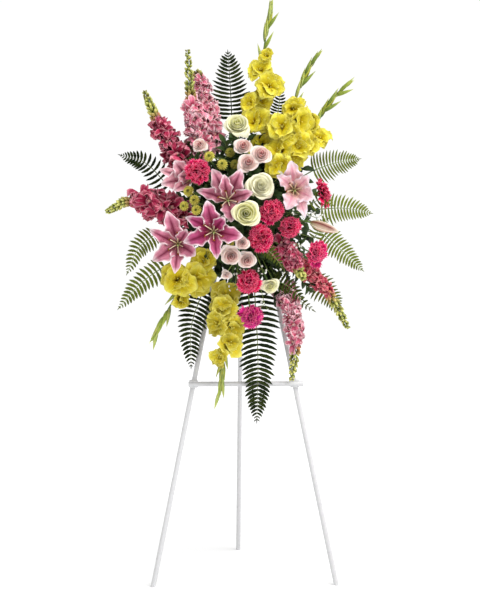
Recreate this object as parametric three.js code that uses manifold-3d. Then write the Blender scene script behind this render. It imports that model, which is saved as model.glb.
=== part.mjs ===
import * as THREE from 'three';
import { mergeVertices } from 'three/addons/utils/BufferGeometryUtils.js';
import Module from 'manifold-3d';

// Standing funeral spray on a folding tripod easel.
// Millimetres, +Z up. The front faces -Y. Flowers and foliage stand in a foam block that hangs on the easel.

const wasm = await Module();
wasm.setup();

// Easel
const TUBE_DIAMETER = 15;
const TUBE_SIDES = 10;
const APEX_HEIGHT = 1372;
const FRONT_FOOT_X = 277;
const FRONT_FOOT_Y = -150;
const BACK_FOOT_Y = 370;
const LEG_TOP = 1318;
const PIVOT_Y = 36;
const PIVOT_Z = 1325;
const PIN_DIAMETER = 6;
const PIN_SIDES = 8;
const PIN_CAP = { height: 3, diameter: 11 };
const CROSSBAR_HEIGHT = 607;
const CROSSBAR_LEFT = -170;
const CROSSBAR_RIGHT = 180;
const RUNG_HEIGHT = 1190;
const RUNG_DIAMETER = 12;
const RUNG_HALF_LENGTH = 56;
const CLIP = { width: 26, height: 22, behind: 12 };
const HEAD = { width: 52, front: -20, back: 16, bottom: 1288, top: 1350 };
const LUG = { thickness: 5, reach: 9, height: 24, play: 0.8 };
const GAP = 0.3;
// Joined bodies lose details below SLIVER, and their points are rounded to GRID, so that no two lie closer.
const SLIVER = 0.12;
const GRID = 0.02;

// Foam holder
const FOAM = { width: 104, depth: 84, height: 224, middle: 1120, back: -53.5 };
const TRAY_WALL = 4;
const TRAY_PLATE = 6;
const TRAY_RIM = 14;
const TRAY_HOOK_X = 12;
const BEARING = { halfLength: 92, bottom: 1012, top: 1028 };

// The flowers' places were read from the front: x and z lie in the upright plane through the front feet,
// and seen() carries them along the line of sight from EYE to their own depth y.
const EYE = new THREE.Vector3(-176, -4150, 965);
const VIEW_PLANE_Y = FRONT_FOOT_Y;

const COLOURS = {
  white: 0xf2f2f0, foam: 0x2f5a34, tray: 0x1f3b26, steel: 0x9a9a9a,
  gladiolus: 0xe3cf1f, lily: 0xc85f8c, rose: 0xeee9b4, blush: 0xefa9a4, carnation: 0xc6184f,
  mum: 0xd7c832, fern: 0x3c6a2c, leaf: 0x1f3d1c, filler: 0xf5f5ee,
  pink: 0xe06c8c, raspberry: 0xc23868, salmon: 0xe2717a,
};

const vec = (x, y, z) => new THREE.Vector3(x, y, z);
const degrees = (angle) => (angle * Math.PI) / 180;

function seen([x, z], depth) {
  const onPlane = vec(x, VIEW_PLANE_Y, z);
  const reach = (depth - EYE.y) / (VIEW_PLANE_Y - EYE.y);
  return EYE.clone().addScaledVector(onPlane.sub(EYE), reach);
}

// Solids and geometry

function toSolid(geometry) {
  const bare = geometry.clone();
  bare.deleteAttribute('normal');
  bare.deleteAttribute('uv');
  const merged = mergeVertices(bare, 1e-4);
  return new wasm.Manifold(new wasm.Mesh({
    numProp: 3,
    vertProperties: new Float32Array(merged.attributes.position.array),
    triVerts: new Uint32Array(merged.index.array),
  }));
}

function toGeometry(solid) {
  const mesh = solid.getMesh();
  const geometry = new THREE.BufferGeometry();
  geometry.setAttribute('position', new THREE.BufferAttribute(mesh.vertProperties, 3));
  geometry.setIndex(new THREE.BufferAttribute(mesh.triVerts, 1));
  geometry.computeVertexNormals();
  return geometry;
}

// The joined pieces as one body, without slivers and loose scraps.
function join(solids) {
  const round = (p) => p.forEach((value, k) => { p[k] = Math.round(value / GRID) * GRID; });
  const whole = solids.reduce((sum, next) => sum.add(next)).simplify(SLIVER).warp(round).simplify(SLIVER);
  return whole.decompose().reduce((most, one) => (one.volume() > most.volume() ? one : most));
}

// One closed body from its points and triangles, turned so that its faces point out.
function closedBody(points, triangles) {
  let volume = 0;
  const cross = vec(0, 0, 0);
  for (const [a, b, c] of triangles) {
    volume += points[a].dot(cross.crossVectors(points[b], points[c]));
  }
  const outward = volume > 0 ? triangles : triangles.map(([a, b, c]) => [a, c, b]);
  return new wasm.Manifold(new wasm.Mesh({
    numProp: 3,
    vertProperties: new Float32Array(points.flatMap((p) => [p.x, p.y, p.z])),
    triVerts: new Uint32Array(outward.flat()),
  }));
}

// Triangles between two neighbouring rings. A ring is one point, n points, or twice n points.
function strip(first, second) {
  if (first.length > second.length) {
    return strip(second, first).map(([a, b, c]) => [a, c, b]);
  }
  const count = second.length;
  const next = (loop, i) => loop[i % loop.length];
  const triangles = [];
  for (let i = 0; i < count; i += 1) {
    if (first.length === 1) {
      triangles.push([first[0], second[i], next(second, i + 1)]);
    } else if (first.length === count) {
      triangles.push([first[i], second[i], next(second, i + 1)]);
      triangles.push([first[i], next(second, i + 1), next(first, i + 1)]);
    } else if (i % 2 === 0) {
      const here = first[i / 2];
      const after = next(first, i / 2 + 1);
      triangles.push([here, second[i], second[i + 1]]);
      triangles.push([here, second[i + 1], after]);
      triangles.push([after, second[i + 1], next(second, i + 2)]);
    }
  }
  return triangles;
}

// A round or lobed body through rings of points, closed at both ends.
function skin(rings) {
  const points = [];
  const numbers = rings.map((loop) => loop.map((point) => points.push(point) - 1));
  const triangles = [];
  for (let i = 0; i + 1 < numbers.length; i += 1) {
    triangles.push(...strip(numbers[i], numbers[i + 1]));
  }
  const first = numbers[0];
  const last = numbers[numbers.length - 1];
  for (let i = 1; i + 1 < first.length; i += 1) {
    triangles.push([first[0], first[i], first[i + 1]]);
  }
  for (let i = 1; i + 1 < last.length; i += 1) {
    triangles.push([last[0], last[i + 1], last[i]]);
  }
  return closedBody(points, triangles);
}

// Two directions across an axis, the first as level as it can be.
function across(axis) {
  const level = Math.abs(axis.z) > 0.95 ? vec(0, 1, 0) : vec(0, 0, 1);
  const side = vec(0, 0, 0).crossVectors(level, axis).normalize();
  const up = vec(0, 0, 0).crossVectors(axis, side).normalize();
  return { side, up };
}

// A ring round an axis. radius(i) and lift(i) give each point's own distance and height.
function ring(centre, axis, count, radius, lift = () => 0, turn = 0) {
  const { side, up } = across(axis);
  return Array.from({ length: count }, (_, i) => {
    const angle = turn + (i * 2 * Math.PI) / count;
    return centre.clone()
      .addScaledVector(side, Math.cos(angle) * radius(i))
      .addScaledVector(up, Math.sin(angle) * radius(i))
      .addScaledVector(axis, lift(i));
  });
}

// A stem that follows a smooth curve through its points, thinning from start to end.
function stem(points, startRadius, endRadius, steps = 3, sides = 4) {
  const curve = new THREE.CatmullRomCurve3(points, false, 'centripetal');
  const rings = [];
  for (let i = 0; i <= steps; i += 1) {
    const u = i / steps;
    const radius = startRadius + (endRadius - startRadius) * u;
    rings.push(ring(curve.getPoint(u), curve.getTangent(u), sides, () => radius));
  }
  return skin(rings);
}

// A spindle between two points: a bud, an anther or a small leaf's rib.
function spindle(from, to, radius, sides = 4) {
  const axis = to.clone().sub(from).normalize();
  const middle = (share) => from.clone().lerp(to, share);
  return skin([
    [from],
    ring(middle(0.35), axis, sides, () => radius),
    ring(middle(0.7), axis, sides, () => radius * 0.7),
    [to],
  ]);
}

// A thin blade over a grid of points, with both faces split alike.
function blade(surface, rows, columns, thickness) {
  const grid = [];
  for (let i = 0; i <= rows; i += 1) {
    grid.push(Array.from({ length: columns + 1 }, (_, j) => surface(i / rows, j / columns)));
  }
  const at = (i, j) => grid[Math.min(Math.max(i, 0), rows)][Math.min(Math.max(j, 0), columns)];
  const points = [];
  const face = (sign) => grid.map((row, i) => row.map((point, j) => {
    const along = at(i + 1, j).clone().sub(at(i - 1, j));
    const sideways = at(i, j + 1).clone().sub(at(i, j - 1));
    const normal = along.cross(sideways).normalize();
    return points.push(point.clone().addScaledVector(normal, (sign * thickness) / 2)) - 1;
  }));
  const top = face(1);
  const bottom = face(-1);
  const triangles = [];
  for (let i = 0; i < rows; i += 1) {
    for (let j = 0; j < columns; j += 1) {
      triangles.push([top[i][j], top[i + 1][j], top[i + 1][j + 1]]);
      triangles.push([top[i][j], top[i + 1][j + 1], top[i][j + 1]]);
      triangles.push([bottom[i][j], bottom[i + 1][j + 1], bottom[i + 1][j]]);
      triangles.push([bottom[i][j], bottom[i][j + 1], bottom[i + 1][j + 1]]);
    }
  }
  const wall = (a, b, c, d) => triangles.push([a, b, c], [a, c, d]);
  for (let i = 0; i < rows; i += 1) {
    wall(top[i + 1][0], top[i][0], bottom[i][0], bottom[i + 1][0]);
    wall(top[i][columns], top[i + 1][columns], bottom[i + 1][columns], bottom[i][columns]);
  }
  for (let j = 0; j < columns; j += 1) {
    wall(top[0][j], top[0][j + 1], bottom[0][j + 1], bottom[0][j]);
    wall(top[rows][j + 1], top[rows][j], bottom[rows][j], bottom[rows][j + 1]);
  }
  return closedBody(points, triangles);
}

// Stems' routes

// Depth of the stem ends in the foam: front flowers, then spikes and fronds.
const FRONT_FEET_Y = -106;
const BACK_FEET_Y = -80;
const FEET = { shareX: 0.15, shareZ: 0.26, sideMargin: 10, endMargin: 12 };
const FLOWER_STEM_RADIUS = 2.2;

// Each stem stands in the foam at a foot of its own, on the side of the foam that its bloom is on.
function stemFoot([x, z], depth, nudge = [0, 0]) {
  const halfWidth = FOAM.width / 2 - FEET.sideMargin;
  const halfHeight = FOAM.height / 2 - FEET.endMargin;
  const up = (z - FOAM.middle) * FEET.shareZ;
  return vec(
    THREE.MathUtils.clamp(x * FEET.shareX, -halfWidth, halfWidth) + nudge[0],
    depth,
    FOAM.middle + THREE.MathUtils.clamp(up, -halfHeight, halfHeight) + nudge[1],
  );
}

const holes = [];

// A stem that leaves the foam straight and then follows its curve, and the hole that it stands in.
// The first point is its foot, the second lies outside the foam.
function plantedStem(points, startRadius, endRadius, steps, sides = 3) {
  const [foot, outside] = points;
  const inward = foot.clone().sub(outside).normalize();
  const outward = inward.clone().negate();
  const rings = (grow) => [
    ring(foot.clone().addScaledVector(inward, grow * 2), outward, sides, () => startRadius + grow),
    ring(outside, outward, sides, () => startRadius + grow),
  ];
  holes.push(skin(rings(GAP)));
  const curve = new THREE.CatmullRomCurve3(points.slice(1), false, 'centripetal');
  const rest = Array.from({ length: steps }, (_, i) => {
    const u = (i + 1) / steps;
    const radius = startRadius + (endRadius - startRadius) * u;
    return ring(curve.getPoint(u), curve.getTangent(u), sides, () => radius);
  });
  return skin([...rings(0), ...rest]);
}

// The way from a foot in the foam to the back of a bloom, coming in along the bloom's own axis.
function wayTo(foot, bloom, axis, sway = [0, 0]) {
  const distance = foot.distanceTo(bloom);
  const outside = outOfFoam(foot, bloom);
  const middle = foot.clone().lerp(bloom, 0.7)
    .addScaledVector(axis, -distance * 0.06)
    .add(vec(sway[0], 0, sway[1]));
  return [foot, outside, middle, bloom];
}

// Where the line from a foot to a target has just left the foam.
function outOfFoam(foot, target) {
  const inside = (p) => Math.abs(p.x) < FOAM.width / 2 + 4
    && Math.abs(p.z - FOAM.middle) < FOAM.height / 2 + 4
    && p.y > FOAM.back - FOAM.depth - 4;
  let share = 0.04;
  while (share < 0.95 && inside(foot.clone().lerp(target, share))) {
    share += 0.02;
  }
  return foot.clone().lerp(target, share);
}

// Blooms

const TOWARDS_VIEWER = vec(0, -1, 0);

// A bloom's axis, turned from straight forward by its place on the rounded front of the spray.
function facing([x, z], lean = 1) {
  return vec((x + 10) / 420, -1, (z - 1110) / 520).multiply(vec(lean, 1, lean)).normalize();
}

// A petal that reaches out less comes forward more, as the whole petal has the same length.
const PETAL = {
  length: 108, forward: 0.75, rootBack: 26, rootOut: 2, bulgeOut: 0.4, bulgeForward: 22, curl: 8,
  wide: 38, narrow: 30, thickness: 1.2, cup: 5, ripple: 2.5, shortReach: 60,
};

// One lily petal, from the throat out to its tip and curled back there.
function lilyPetal(throat, axis, angle, reach, width) {
  const forward = Math.sqrt(Math.max(PETAL.length ** 2 - reach ** 2, 0)) * PETAL.forward;
  const away = vec(Math.cos(degrees(angle)), 0, Math.sin(degrees(angle)));
  const point = (out, ahead) => throat.clone().addScaledVector(away, out).addScaledVector(axis, ahead);
  const start = point(PETAL.rootOut, -PETAL.rootBack);
  const bulge = point(reach * PETAL.bulgeOut, PETAL.bulgeForward + forward * 0.7);
  const tip = point(reach, forward - PETAL.curl);
  const rib = new THREE.QuadraticBezierCurve3(start, bulge, tip);
  const rooted = reach < PETAL.shortReach ? 0.03 : 0.13;
  return blade((u, v) => {
    const way = rooted + u * (1 - rooted);
    const side = vec(0, 0, 0).crossVectors(rib.getTangent(way), axis).normalize();
    const half = (width / 2) * Math.sin(Math.PI * (0.06 + way * 0.92)) ** (way < 0.5 ? 1.8 : 0.8);
    const edge = v * 2 - 1;
    const raised = PETAL.cup + PETAL.ripple * Math.sin(u * 14 + edge * 2);
    return rib.getPoint(way)
      .addScaledVector(side, half * edge)
      .addScaledVector(axis, raised * Math.abs(edge) * Math.sin(Math.PI * way));
  }, 4, 2, PETAL.thickness);
}

function lilyStamens(throat, axis, count) {
  const { side, up } = across(axis);
  return Array.from({ length: count }, (_, i) => {
    const angle = (i * 2 * Math.PI) / count + 0.3;
    const away = side.clone().multiplyScalar(Math.cos(angle)).addScaledVector(up, Math.sin(angle));
    const from = throat.clone().addScaledVector(axis, -27);
    const neck = throat.clone().addScaledVector(axis, 26).addScaledVector(away, 12);
    const head = neck.clone().addScaledVector(axis, 5).addScaledVector(away, 3);
    const end = neck.clone().addScaledVector(axis, 9).addScaledVector(away, 9);
    return skin([
      ring(from, axis, 3, () => 1.6),
      ring(neck, axis, 3, () => 0.9),
      ring(head, axis, 3, () => 2.6),
      [end],
    ]);
  });
}

function lilyBloom(throat, petals) {
  const axis = TOWARDS_VIEWER;
  const widths = [PETAL.wide, PETAL.narrow];
  const blades = petals.map(([angle, reach], i) => lilyPetal(throat, axis, angle, reach, widths[i % 2]));
  const at = (ahead) => throat.clone().addScaledVector(axis, ahead);
  const cup = skin([
    [at(-34)],
    ring(at(-29), axis, 6, () => 6),
    ring(at(3), axis, 6, () => 19),
    ring(at(-2), axis, 6, () => 13),
    [at(-20)],
  ]);
  return join([cup, ...blades, ...lilyStamens(throat, axis, 3)]);
}

const LAYER_TURN = 0.37;

// A head of layered petals in one body: rims that stand out, with furrows between the layers.
function layeredHead(centre, axis, layers, count, turn = 0) {
  const rings = layers.map(({ radius, height, lobes, ruffle, lift }, number) => {
    const middle = centre.clone().addScaledVector(axis, height);
    if (radius === 0) {
      return [middle];
    }
    const wave = (i) => Math.cos((i * 2 * Math.PI * lobes) / count);
    const out = (i) => radius * (1 + ruffle * wave(i));
    return ring(middle, axis, count, out, (i) => lift * wave(i + 1), turn + number * LAYER_TURN);
  });
  return skin(rings);
}

function layer(radius, height, lobes = 0, ruffle = 0, lift = 0) {
  return { radius, height, lobes, ruffle, lift };
}

// Rose: three rows of broad overlapping petals round a tight middle.
function roseHead(centre, axis, width, turn) {
  const r = width / 2;
  return layeredHead(centre, axis, [
    layer(0, -r * 0.75),
    layer(r * 0.62, -r * 0.5, 5, 0.05),
    layer(r, r * 0.06, 5, 0.1, r * 0.06),
    layer(r * 0.72, r * 0.02, 5, 0.05),
    layer(r * 0.8, r * 0.38, 5, 0.1, r * 0.05),
    layer(r * 0.46, r * 0.22, 5, 0.05),
    layer(r * 0.5, r * 0.66, 5, 0.1, r * 0.05),
    layer(r * 0.2, r * 0.45),
    layer(0, r * 0.72),
  ], 15, turn);
}

function sprayRoseHead(centre, axis, width, turn) {
  const r = width / 2;
  return layeredHead(centre, axis, [
    layer(0, -r),
    layer(r * 0.6, -r * 0.6),
    layer(r, r * 0.2, 5, 0.12, r * 0.08),
    layer(r * 0.62, r * 0.08),
    layer(r * 0.6, r * 0.62, 5, 0.12, r * 0.06),
    layer(0, r * 0.35),
  ], 10, turn);
}

// Carnation: ragged rows of frilled petals over a green calyx.
function carnationHead(centre, axis, width, turn) {
  const r = width / 2;
  return layeredHead(centre, axis, [
    layer(0, -r * 1.2),
    layer(r * 0.26, -r * 0.6),
    layer(r, -r * 0.12, 5, 0.1, r * 0.1),
    layer(r * 0.68, r * 0.02, 5, 0.04),
    layer(r * 0.84, r * 0.34, 5, 0.13, r * 0.1),
    layer(r * 0.44, r * 0.24, 5, 0.05),
    layer(r * 0.56, r * 0.64, 5, 0.16, r * 0.08),
    layer(0, r * 0.4),
  ], 10, turn);
}

function mumHead(centre, axis, width, turn) {
  const r = width / 2;
  return layeredHead(centre, axis, [
    layer(0, -r * 0.6),
    layer(r, -r * 0.1, 4, 0.1, r * 0.08),
    layer(r * 0.7, r * 0.1),
    layer(r * 0.66, r * 0.42, 4, 0.12, r * 0.06),
    layer(0, r * 0.25),
  ], 8, turn);
}

// Gladiolus floret: a funnel of six flared lobes.
function gladiolusFloret(root, centre, axis, width, turn) {
  const r = width / 2;
  const lobes = (outer, notch) => (i) => (i % 2 ? notch : outer);
  return skin([
    [root],
    ring(centre.clone().addScaledVector(axis, -r * 0.55), axis, 6, () => r * 0.34, () => 0, turn),
    ring(centre, axis, 12, lobes(r, r * 0.78), lobes(-r * 0.1, r * 0.14), turn),
    [centre.clone().addScaledVector(axis, -r * 0.42)],
  ]);
}

const WHORLS = 7;
const SNAPDRAGON = { width: 56, budReach: 7.5, sides: 8 };

// Snapdragon spike in one body: whorls of florets that stand out of the stalk by turns, then small buds.
function snapdragonSpike(curve, from, { blooms }) {
  const rings = [];
  for (let k = 0; k < WHORLS; k += 1) {
    const share = k / (WHORLS - 1);
    const open = share < blooms;
    const out = open ? (SNAPDRAGON.width / 2) * (1 - share * 0.45) : SNAPDRAGON.budReach * (1.5 - share);
    const inner = open ? out * 0.46 : 3.2 - share * 1.6;
    const at = (step) => from + ((1 - from) * (k + step)) / WHORLS;
    const standing = (i) => ((i + k) % 2 ? out : inner * 1.25);
    const lift = (i) => ((i + k) % 2 ? out * 0.2 : 0);
    const around = (u, radius, height) => (
      ring(curve.getPoint(u), curve.getTangent(u), SNAPDRAGON.sides, radius, height));
    rings.push(around(at(0.05), () => inner));
    rings.push(around(at(0.5), standing, lift));
  }
  return skin([[curve.getPoint(from - 0.02)], ...rings, [curve.getPoint(1)]]);
}

// Foliage

// The length of the leaflets follows the frond: longest near the root, where the first few are shorter.
const FROND = { thickness: 1, rib: 1.6, gapShare: 0.56, lean: 0.32, droop: 0.12, tipReach: 4 };

// A fern frond: one thin arched plate, its outline cut into leaflets down to the rib.
function frondPlate(curve, from, halfWidth, pairs, flat) {
  const { thickness, rib } = FROND;
  const points = [];
  const triangles = [];
  const place = (u, out, ahead, drop) => {
    const centre = curve.getPoint(u);
    const along = curve.getTangent(u);
    const side = vec(0, 0, 0).crossVectors(along, flat).normalize();
    const normal = vec(0, 0, 0).crossVectors(side, along).normalize();
    const middle = centre.addScaledVector(side, out).addScaledVector(along, ahead)
      .addScaledVector(normal, -drop);
    const top = points.push(middle.clone().addScaledVector(normal, thickness / 2)) - 1;
    points.push(middle.clone().addScaledVector(normal, -thickness / 2));
    return top;
  };
  const faces = (a, b, c) => triangles.push([a, b, c], [a + 1, c + 1, b + 1]);
  const edge = (a, b) => triangles.push([b, a, a + 1], [b, a + 1, b + 1]);
  const step = (1 - from) / (pairs + 0.5);
  const width = step * FROND.gapShare;
  let last = null;
  for (let k = 0; k < pairs; k += 1) {
    const start = from + k * step;
    const share = k / (pairs - 1);
    const out = halfWidth * (1 - share) ** 0.55 * Math.min(0.75 + k * 0.15, 1) + FROND.tipReach;
    const stations = [start, start + width].map((u) => [place(u, rib, 0, 0), place(u, -rib, 0, 0)]);
    const tips = [out, -out].map((side) => (
      place(start + width / 2, side, out * FROND.lean, out * FROND.droop)));
    const [[nearRight, nearLeft], [farRight, farLeft]] = stations;
    if (last) {
      faces(last[0], nearRight, nearLeft);
      faces(last[0], nearLeft, last[1]);
      edge(last[0], nearRight);
      edge(nearLeft, last[1]);
    } else {
      edge(nearLeft, nearRight);
    }
    faces(nearRight, farRight, farLeft);
    faces(nearRight, farLeft, nearLeft);
    faces(nearRight, tips[0], farRight);
    faces(farLeft, tips[1], nearLeft);
    edge(nearRight, tips[0]);
    edge(tips[0], farRight);
    edge(farLeft, tips[1]);
    edge(tips[1], nearLeft);
    last = stations[1];
  }
  const end = place(1, 0, 0, 0);
  faces(last[0], end, last[1]);
  edge(last[0], end);
  edge(end, last[1]);
  return closedBody(points, triangles);
}

function leafBlade(root, tip, width, flat) {
  const along = tip.clone().sub(root).normalize();
  const side = vec(0, 0, 0).crossVectors(along, flat).normalize();
  const normal = vec(0, 0, 0).crossVectors(side, along).normalize();
  return blade((u, v) => {
    const edge = v * 2 - 1;
    const half = (width / 2) * Math.sin(Math.PI * (0.08 + 0.9 * u)) * (1 + 0.12 * Math.cos(u * 19));
    const arch = Math.sin(Math.PI * u) * width * 0.2;
    return root.clone().lerp(tip, u)
      .addScaledVector(side, half * edge)
      .addScaledVector(normal, arch + Math.abs(edge) * half * 0.25);
  }, 3, 2, 1);
}

// The spray's own pieces

const placed = [];

function apart(a, b) {
  return [0, 1, 2].some((k) => a.min[k] > b.max[k] + GAP || b.min[k] > a.max[k] + GAP);
}

function isClear(solid, space = GAP) {
  const box = solid.boundingBox();
  return placed.every((other) => apart(box, other.box) || solid.minGap(other.solid, space * 2) >= space);
}

function place(name, solid, colour, roughness = 0.6) {
  placed.push({ name, solid, box: solid.boundingBox(), colour, roughness });
}

// Florets that would press into another stem's flowers are left off.
function joinClear(core, pieces) {
  return join([core, ...pieces.filter((piece) => isClear(piece))]);
}

const LILIES = [
  {
    at: [-94, 1070], depth: -318,
    petals: [[103, 89], [50, 48], [-10, 84], [276, 80], [200, 92], [154, 90]],
  },
  {
    at: [-52, 1164], depth: -262,
    petals: [[117, 100], [99, 72], [66, 97], [16, 76], [-82, 66], [164, 94]],
  },
  {
    at: [-201, 1032], depth: -258,
    petals: [[108, 100], [58, 48], [-34, 61], [264, 86], [214, 88], [153, 92]],
  },
  {
    at: [147, 1194], depth: -250,
    petals: [[98, 84], [45, 56], [-28, 60], [-69, 86], [247, 64], [143, 66]],
  },
  {
    at: [-165, 1224], depth: -172,
    petals: [[131, 70], [162, 95], [190, 86], [215, 60], [60, 26], [167, 36]],
  },
];

const ROSES = [
  { at: [-24, 1389], depth: -190, width: 74 },
  { at: [48, 1206], depth: -285, width: 86 },
  { at: [3, 1125], depth: -345, width: 84 },
  { at: [76, 906], depth: -215, width: 60 },
];

const SPRAY_ROSES = [
  [
    { at: [-6, 1326], depth: -230, width: 47 },
    { at: [51, 1299], depth: -235, width: 47 },
    { at: [9, 1272], depth: -255, width: 50 },
  ],
  [
    { at: [-8, 1035], depth: -322, width: 40 },
    { at: [-42, 996], depth: -285, width: 46 },
    { at: [6, 984], depth: -275, width: 48 },
    { at: [-63, 939], depth: -245, width: 30 },
  ],
  [{ at: [-135, 1327], depth: -195, width: 42 }],
];

const CARNATIONS = [
  { at: [-141, 1251], depth: -285, width: 70 },
  { at: [75, 1128], depth: -285, width: 68 },
  { at: [132, 1083], depth: -250, width: 68 },
  { at: [48, 1050], depth: -305, width: 74 },
  { at: [237, 1188], depth: -170, width: 66, lean: 2.6 },
  { at: [210, 999], depth: -200, width: 62, lean: 1.6 },
  { at: [9, 918], depth: -245, width: 72 },
  { at: [18, 810], depth: -190, width: 70 },
];

const MUMS = [
  [
    { at: [-108, 1296], depth: -225, width: 34 },
    { at: [-69, 1272], depth: -235, width: 34 },
    { at: [-30, 1272], depth: -225, width: 31 },
    { at: [-45, 1308], depth: -215, width: 31 },
  ],
  [
    { at: [-171, 1191], depth: -240, width: 34 },
    { at: [-153, 1164], depth: -255, width: 32 },
    { at: [-184, 1146], depth: -245, width: 30 },
    { at: [-147, 1134], depth: -262, width: 32 },
  ],
  [{ at: [-45, 1035], depth: -262, width: 26 }],
];

const GLADIOLI = [
  {
    way: [[51, 1269], [51, 1464], [57, 1614], [72, 1704], [78, 1757]], depth: -70,
    florets: [[30, 1551, 72], [52, 1592, 42], [69, 1506, 64], [44, 1461, 62], [6, 1450, 44], [30, 1398, 68],
      [75, 1384, 62], [50, 1328, 58]],
    buds: [[102, 1725], [60, 1695], [38, 1632], [86, 1668], [78, 1761]],
  },
  {
    way: [[118, 1254], [138, 1404], [152, 1464], [189, 1554], [226, 1610]], depth: -112,
    florets: [[146, 1440, 50], [166, 1398, 72], [106, 1384, 60], [132, 1352, 64], [162, 1330, 60],
      [102, 1318, 60], [150, 1284, 58], [108, 1264, 54]],
    buds: [[231, 1617], [201, 1592], [212, 1551], [168, 1527], [176, 1488]],
  },
  {
    way: [[165, 1275], [207, 1377], [261, 1464], [322, 1524]], depth: -60, nudge: [4, 12],
    florets: [[196, 1392, 46], [222, 1352, 52], [188, 1330, 52]],
    buds: [[329, 1533], [327, 1497], [279, 1497], [290, 1462], [232, 1443]],
  },
  {
    way: [[-90, 1014], [-165, 939], [-216, 861], [-255, 789], [-279, 742]], depth: -140,
    florets: [[-122, 984, 60], [-146, 933, 72], [-200, 922, 70], [-190, 868, 48]],
    buds: [[-241, 849], [-280, 750], [-277, 711], [-236, 783]],
  },
  {
    way: [[-45, 909], [-57, 804], [-63, 714], [-69, 639], [-80, 572]], depth: -170,
    florets: [[-60, 876, 64], [-62, 836, 58], [-86, 790, 56], [-36, 784, 56], [-44, 734, 58], [-76, 694, 40]],
    buds: [[-52, 654], [-88, 630], [-93, 534], [-64, 567]],
  },
];

const SNAPDRAGONS = [
  { way: [[-120, 1290], [-150, 1400], [-163, 1480], [-171, 1605]], depth: -110, blooms: 0.52 },
  { way: [[-93, 1300], [-104, 1380], [-114, 1450], [-144, 1545]], depth: -70, nudge: [6, 8], blooms: 0.92 },
  { way: [[-170, 1240], [-232, 1345], [-268, 1412], [-298, 1482]], depth: -120, blooms: 0.62 },
  { way: [[-175, 1105], [-250, 1145], [-345, 1160], [-410, 1129]], depth: -150, blooms: 0.68 },
  { way: [[140, 985], [205, 935], [262, 868], [309, 783]], depth: -150, blooms: 0.62 },
  { way: [[110, 905], [138, 840], [152, 740], [141, 627]], depth: -130, blooms: 0.66 },
  { way: [[100, 1030], [128, 1000], [150, 972], [176, 930]], depth: -195, blooms: 0.62 },
];
const SNAPDRAGON_COLOURS = ['pink', 'pink', 'raspberry', 'raspberry', 'salmon', 'pink', 'raspberry'];

const FERNS = [
  { way: [[-39, 1401], [-44, 1500], [-51, 1602]], depth: -52, width: 62, pairs: 8 },
  { way: [[96, 1410], [102, 1450], [108, 1500]], depth: -40, width: 28, pairs: 5 },
  { way: [[-225, 1200], [-300, 1275], [-369, 1296]], depth: -80, width: 40, pairs: 6 },
  { way: [[-268, 1062], [-318, 1020], [-351, 948]], depth: -90, width: 38, pairs: 6 },
  { way: [[-237, 969], [-315, 912], [-375, 843]], depth: -75, width: 40, pairs: 6 },
  { way: [[-123, 900], [-160, 790], [-162, 666]], depth: -100, width: 52, pairs: 8 },
  { way: [[30, 880], [39, 690], [36, 501]], depth: -135, width: 62, pairs: 9 },
  { way: [[201, 1251], [270, 1275], [339, 1287]], depth: -70, width: 46, pairs: 6 },
  { way: [[225, 1137], [300, 1140], [375, 1126]], depth: -80, width: 40, pairs: 6 },
  { way: [[234, 1062], [292, 1012], [351, 957]], depth: -100, width: 42, pairs: 6 },
  { way: [[207, 927], [250, 880], [284, 840]], depth: -85, width: 38, pairs: 6 },
  { way: [[118, 890], [160, 865], [204, 834]], depth: -75, nudge: [9, -12], width: 24, pairs: 4 },
];

const LEAFY_STEMS = [
  { way: [[-60, 1215], [-110, 1245], [-150, 1290]], depth: -150 },
  { way: [[90, 1000], [140, 960], [190, 900]], depth: -135 },
];

const WHITE_FILLER = { way: [[105, 1110], [160, 1130], [215, 1110]], depth: -165, nudge: [4, 14] };

function placeLilies() {
  LILIES.forEach(({ at, depth, petals, nudge, sway }, i) => {
    const throat = seen(at, depth);
    const bloom = lilyBloom(throat, petals);
    const back = throat.clone().addScaledVector(TOWARDS_VIEWER, -30);
    const way = wayTo(stemFoot(at, FRONT_FEET_Y, nudge), back, TOWARDS_VIEWER, sway);
    place(`lily_${i + 1}`, join([bloom, plantedStem(way, 3, 3, 3)]), 'lily', 0.5);
  });
}

// A spray's stem forks this far behind its first head.
const FORK_BEHIND = 55;

// Single heads or sprays of heads. stalkReach is how far behind its centre a head takes its stem.
function placeHeads(name, table, head, colour, stalkReach) {
  table.forEach((spray, i) => {
    const heads = Array.isArray(spray) ? spray : [spray];
    const first = heads[0];
    const depth = first.depth + (heads.length > 1 ? FORK_BEHIND : 0);
    const mean = (k) => heads.reduce((sum, one) => sum + one.at[k], 0) / heads.length;
    const middle = [mean(0), mean(1)];
    const fork = heads.length > 1 ? seen(middle, depth) : null;
    const solids = heads.map(({ at, depth: own, width, lean }, k) => {
      const axis = facing(at, lean);
      const centre = seen(at, own);
      const back = centre.clone().addScaledVector(axis, -width * stalkReach);
      const bloom = head(centre, axis, width, k + i);
      if (!fork) {
        return { bloom, back, axis };
      }
      return { bloom: join([bloom, stem([fork, back], 1.6, 1.6, 1, 3)]), back, axis };
    });
    const end = fork || solids[0].back;
    const axis = fork ? TOWARDS_VIEWER : solids[0].axis;
    const way = wayTo(stemFoot(middle, FRONT_FEET_Y, first.nudge), end, axis, first.sway);
    const trunk = plantedStem(way, FLOWER_STEM_RADIUS, FLOWER_STEM_RADIUS, 3);
    place(`${name}_${i + 1}`, join([trunk, ...solids.map((one) => one.bloom)]), colour);
  });
}

// A flowering spike: a stem from the foam that runs on as the spike's own stalk.
function spikeCurve({ way, depth, nudge }) {
  const outside = way.map((at) => seen(at, depth));
  const foot = stemFoot(way[0], BACK_FEET_Y, nudge);
  return [foot, outOfFoam(foot, outside[0]), ...outside];
}

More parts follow.
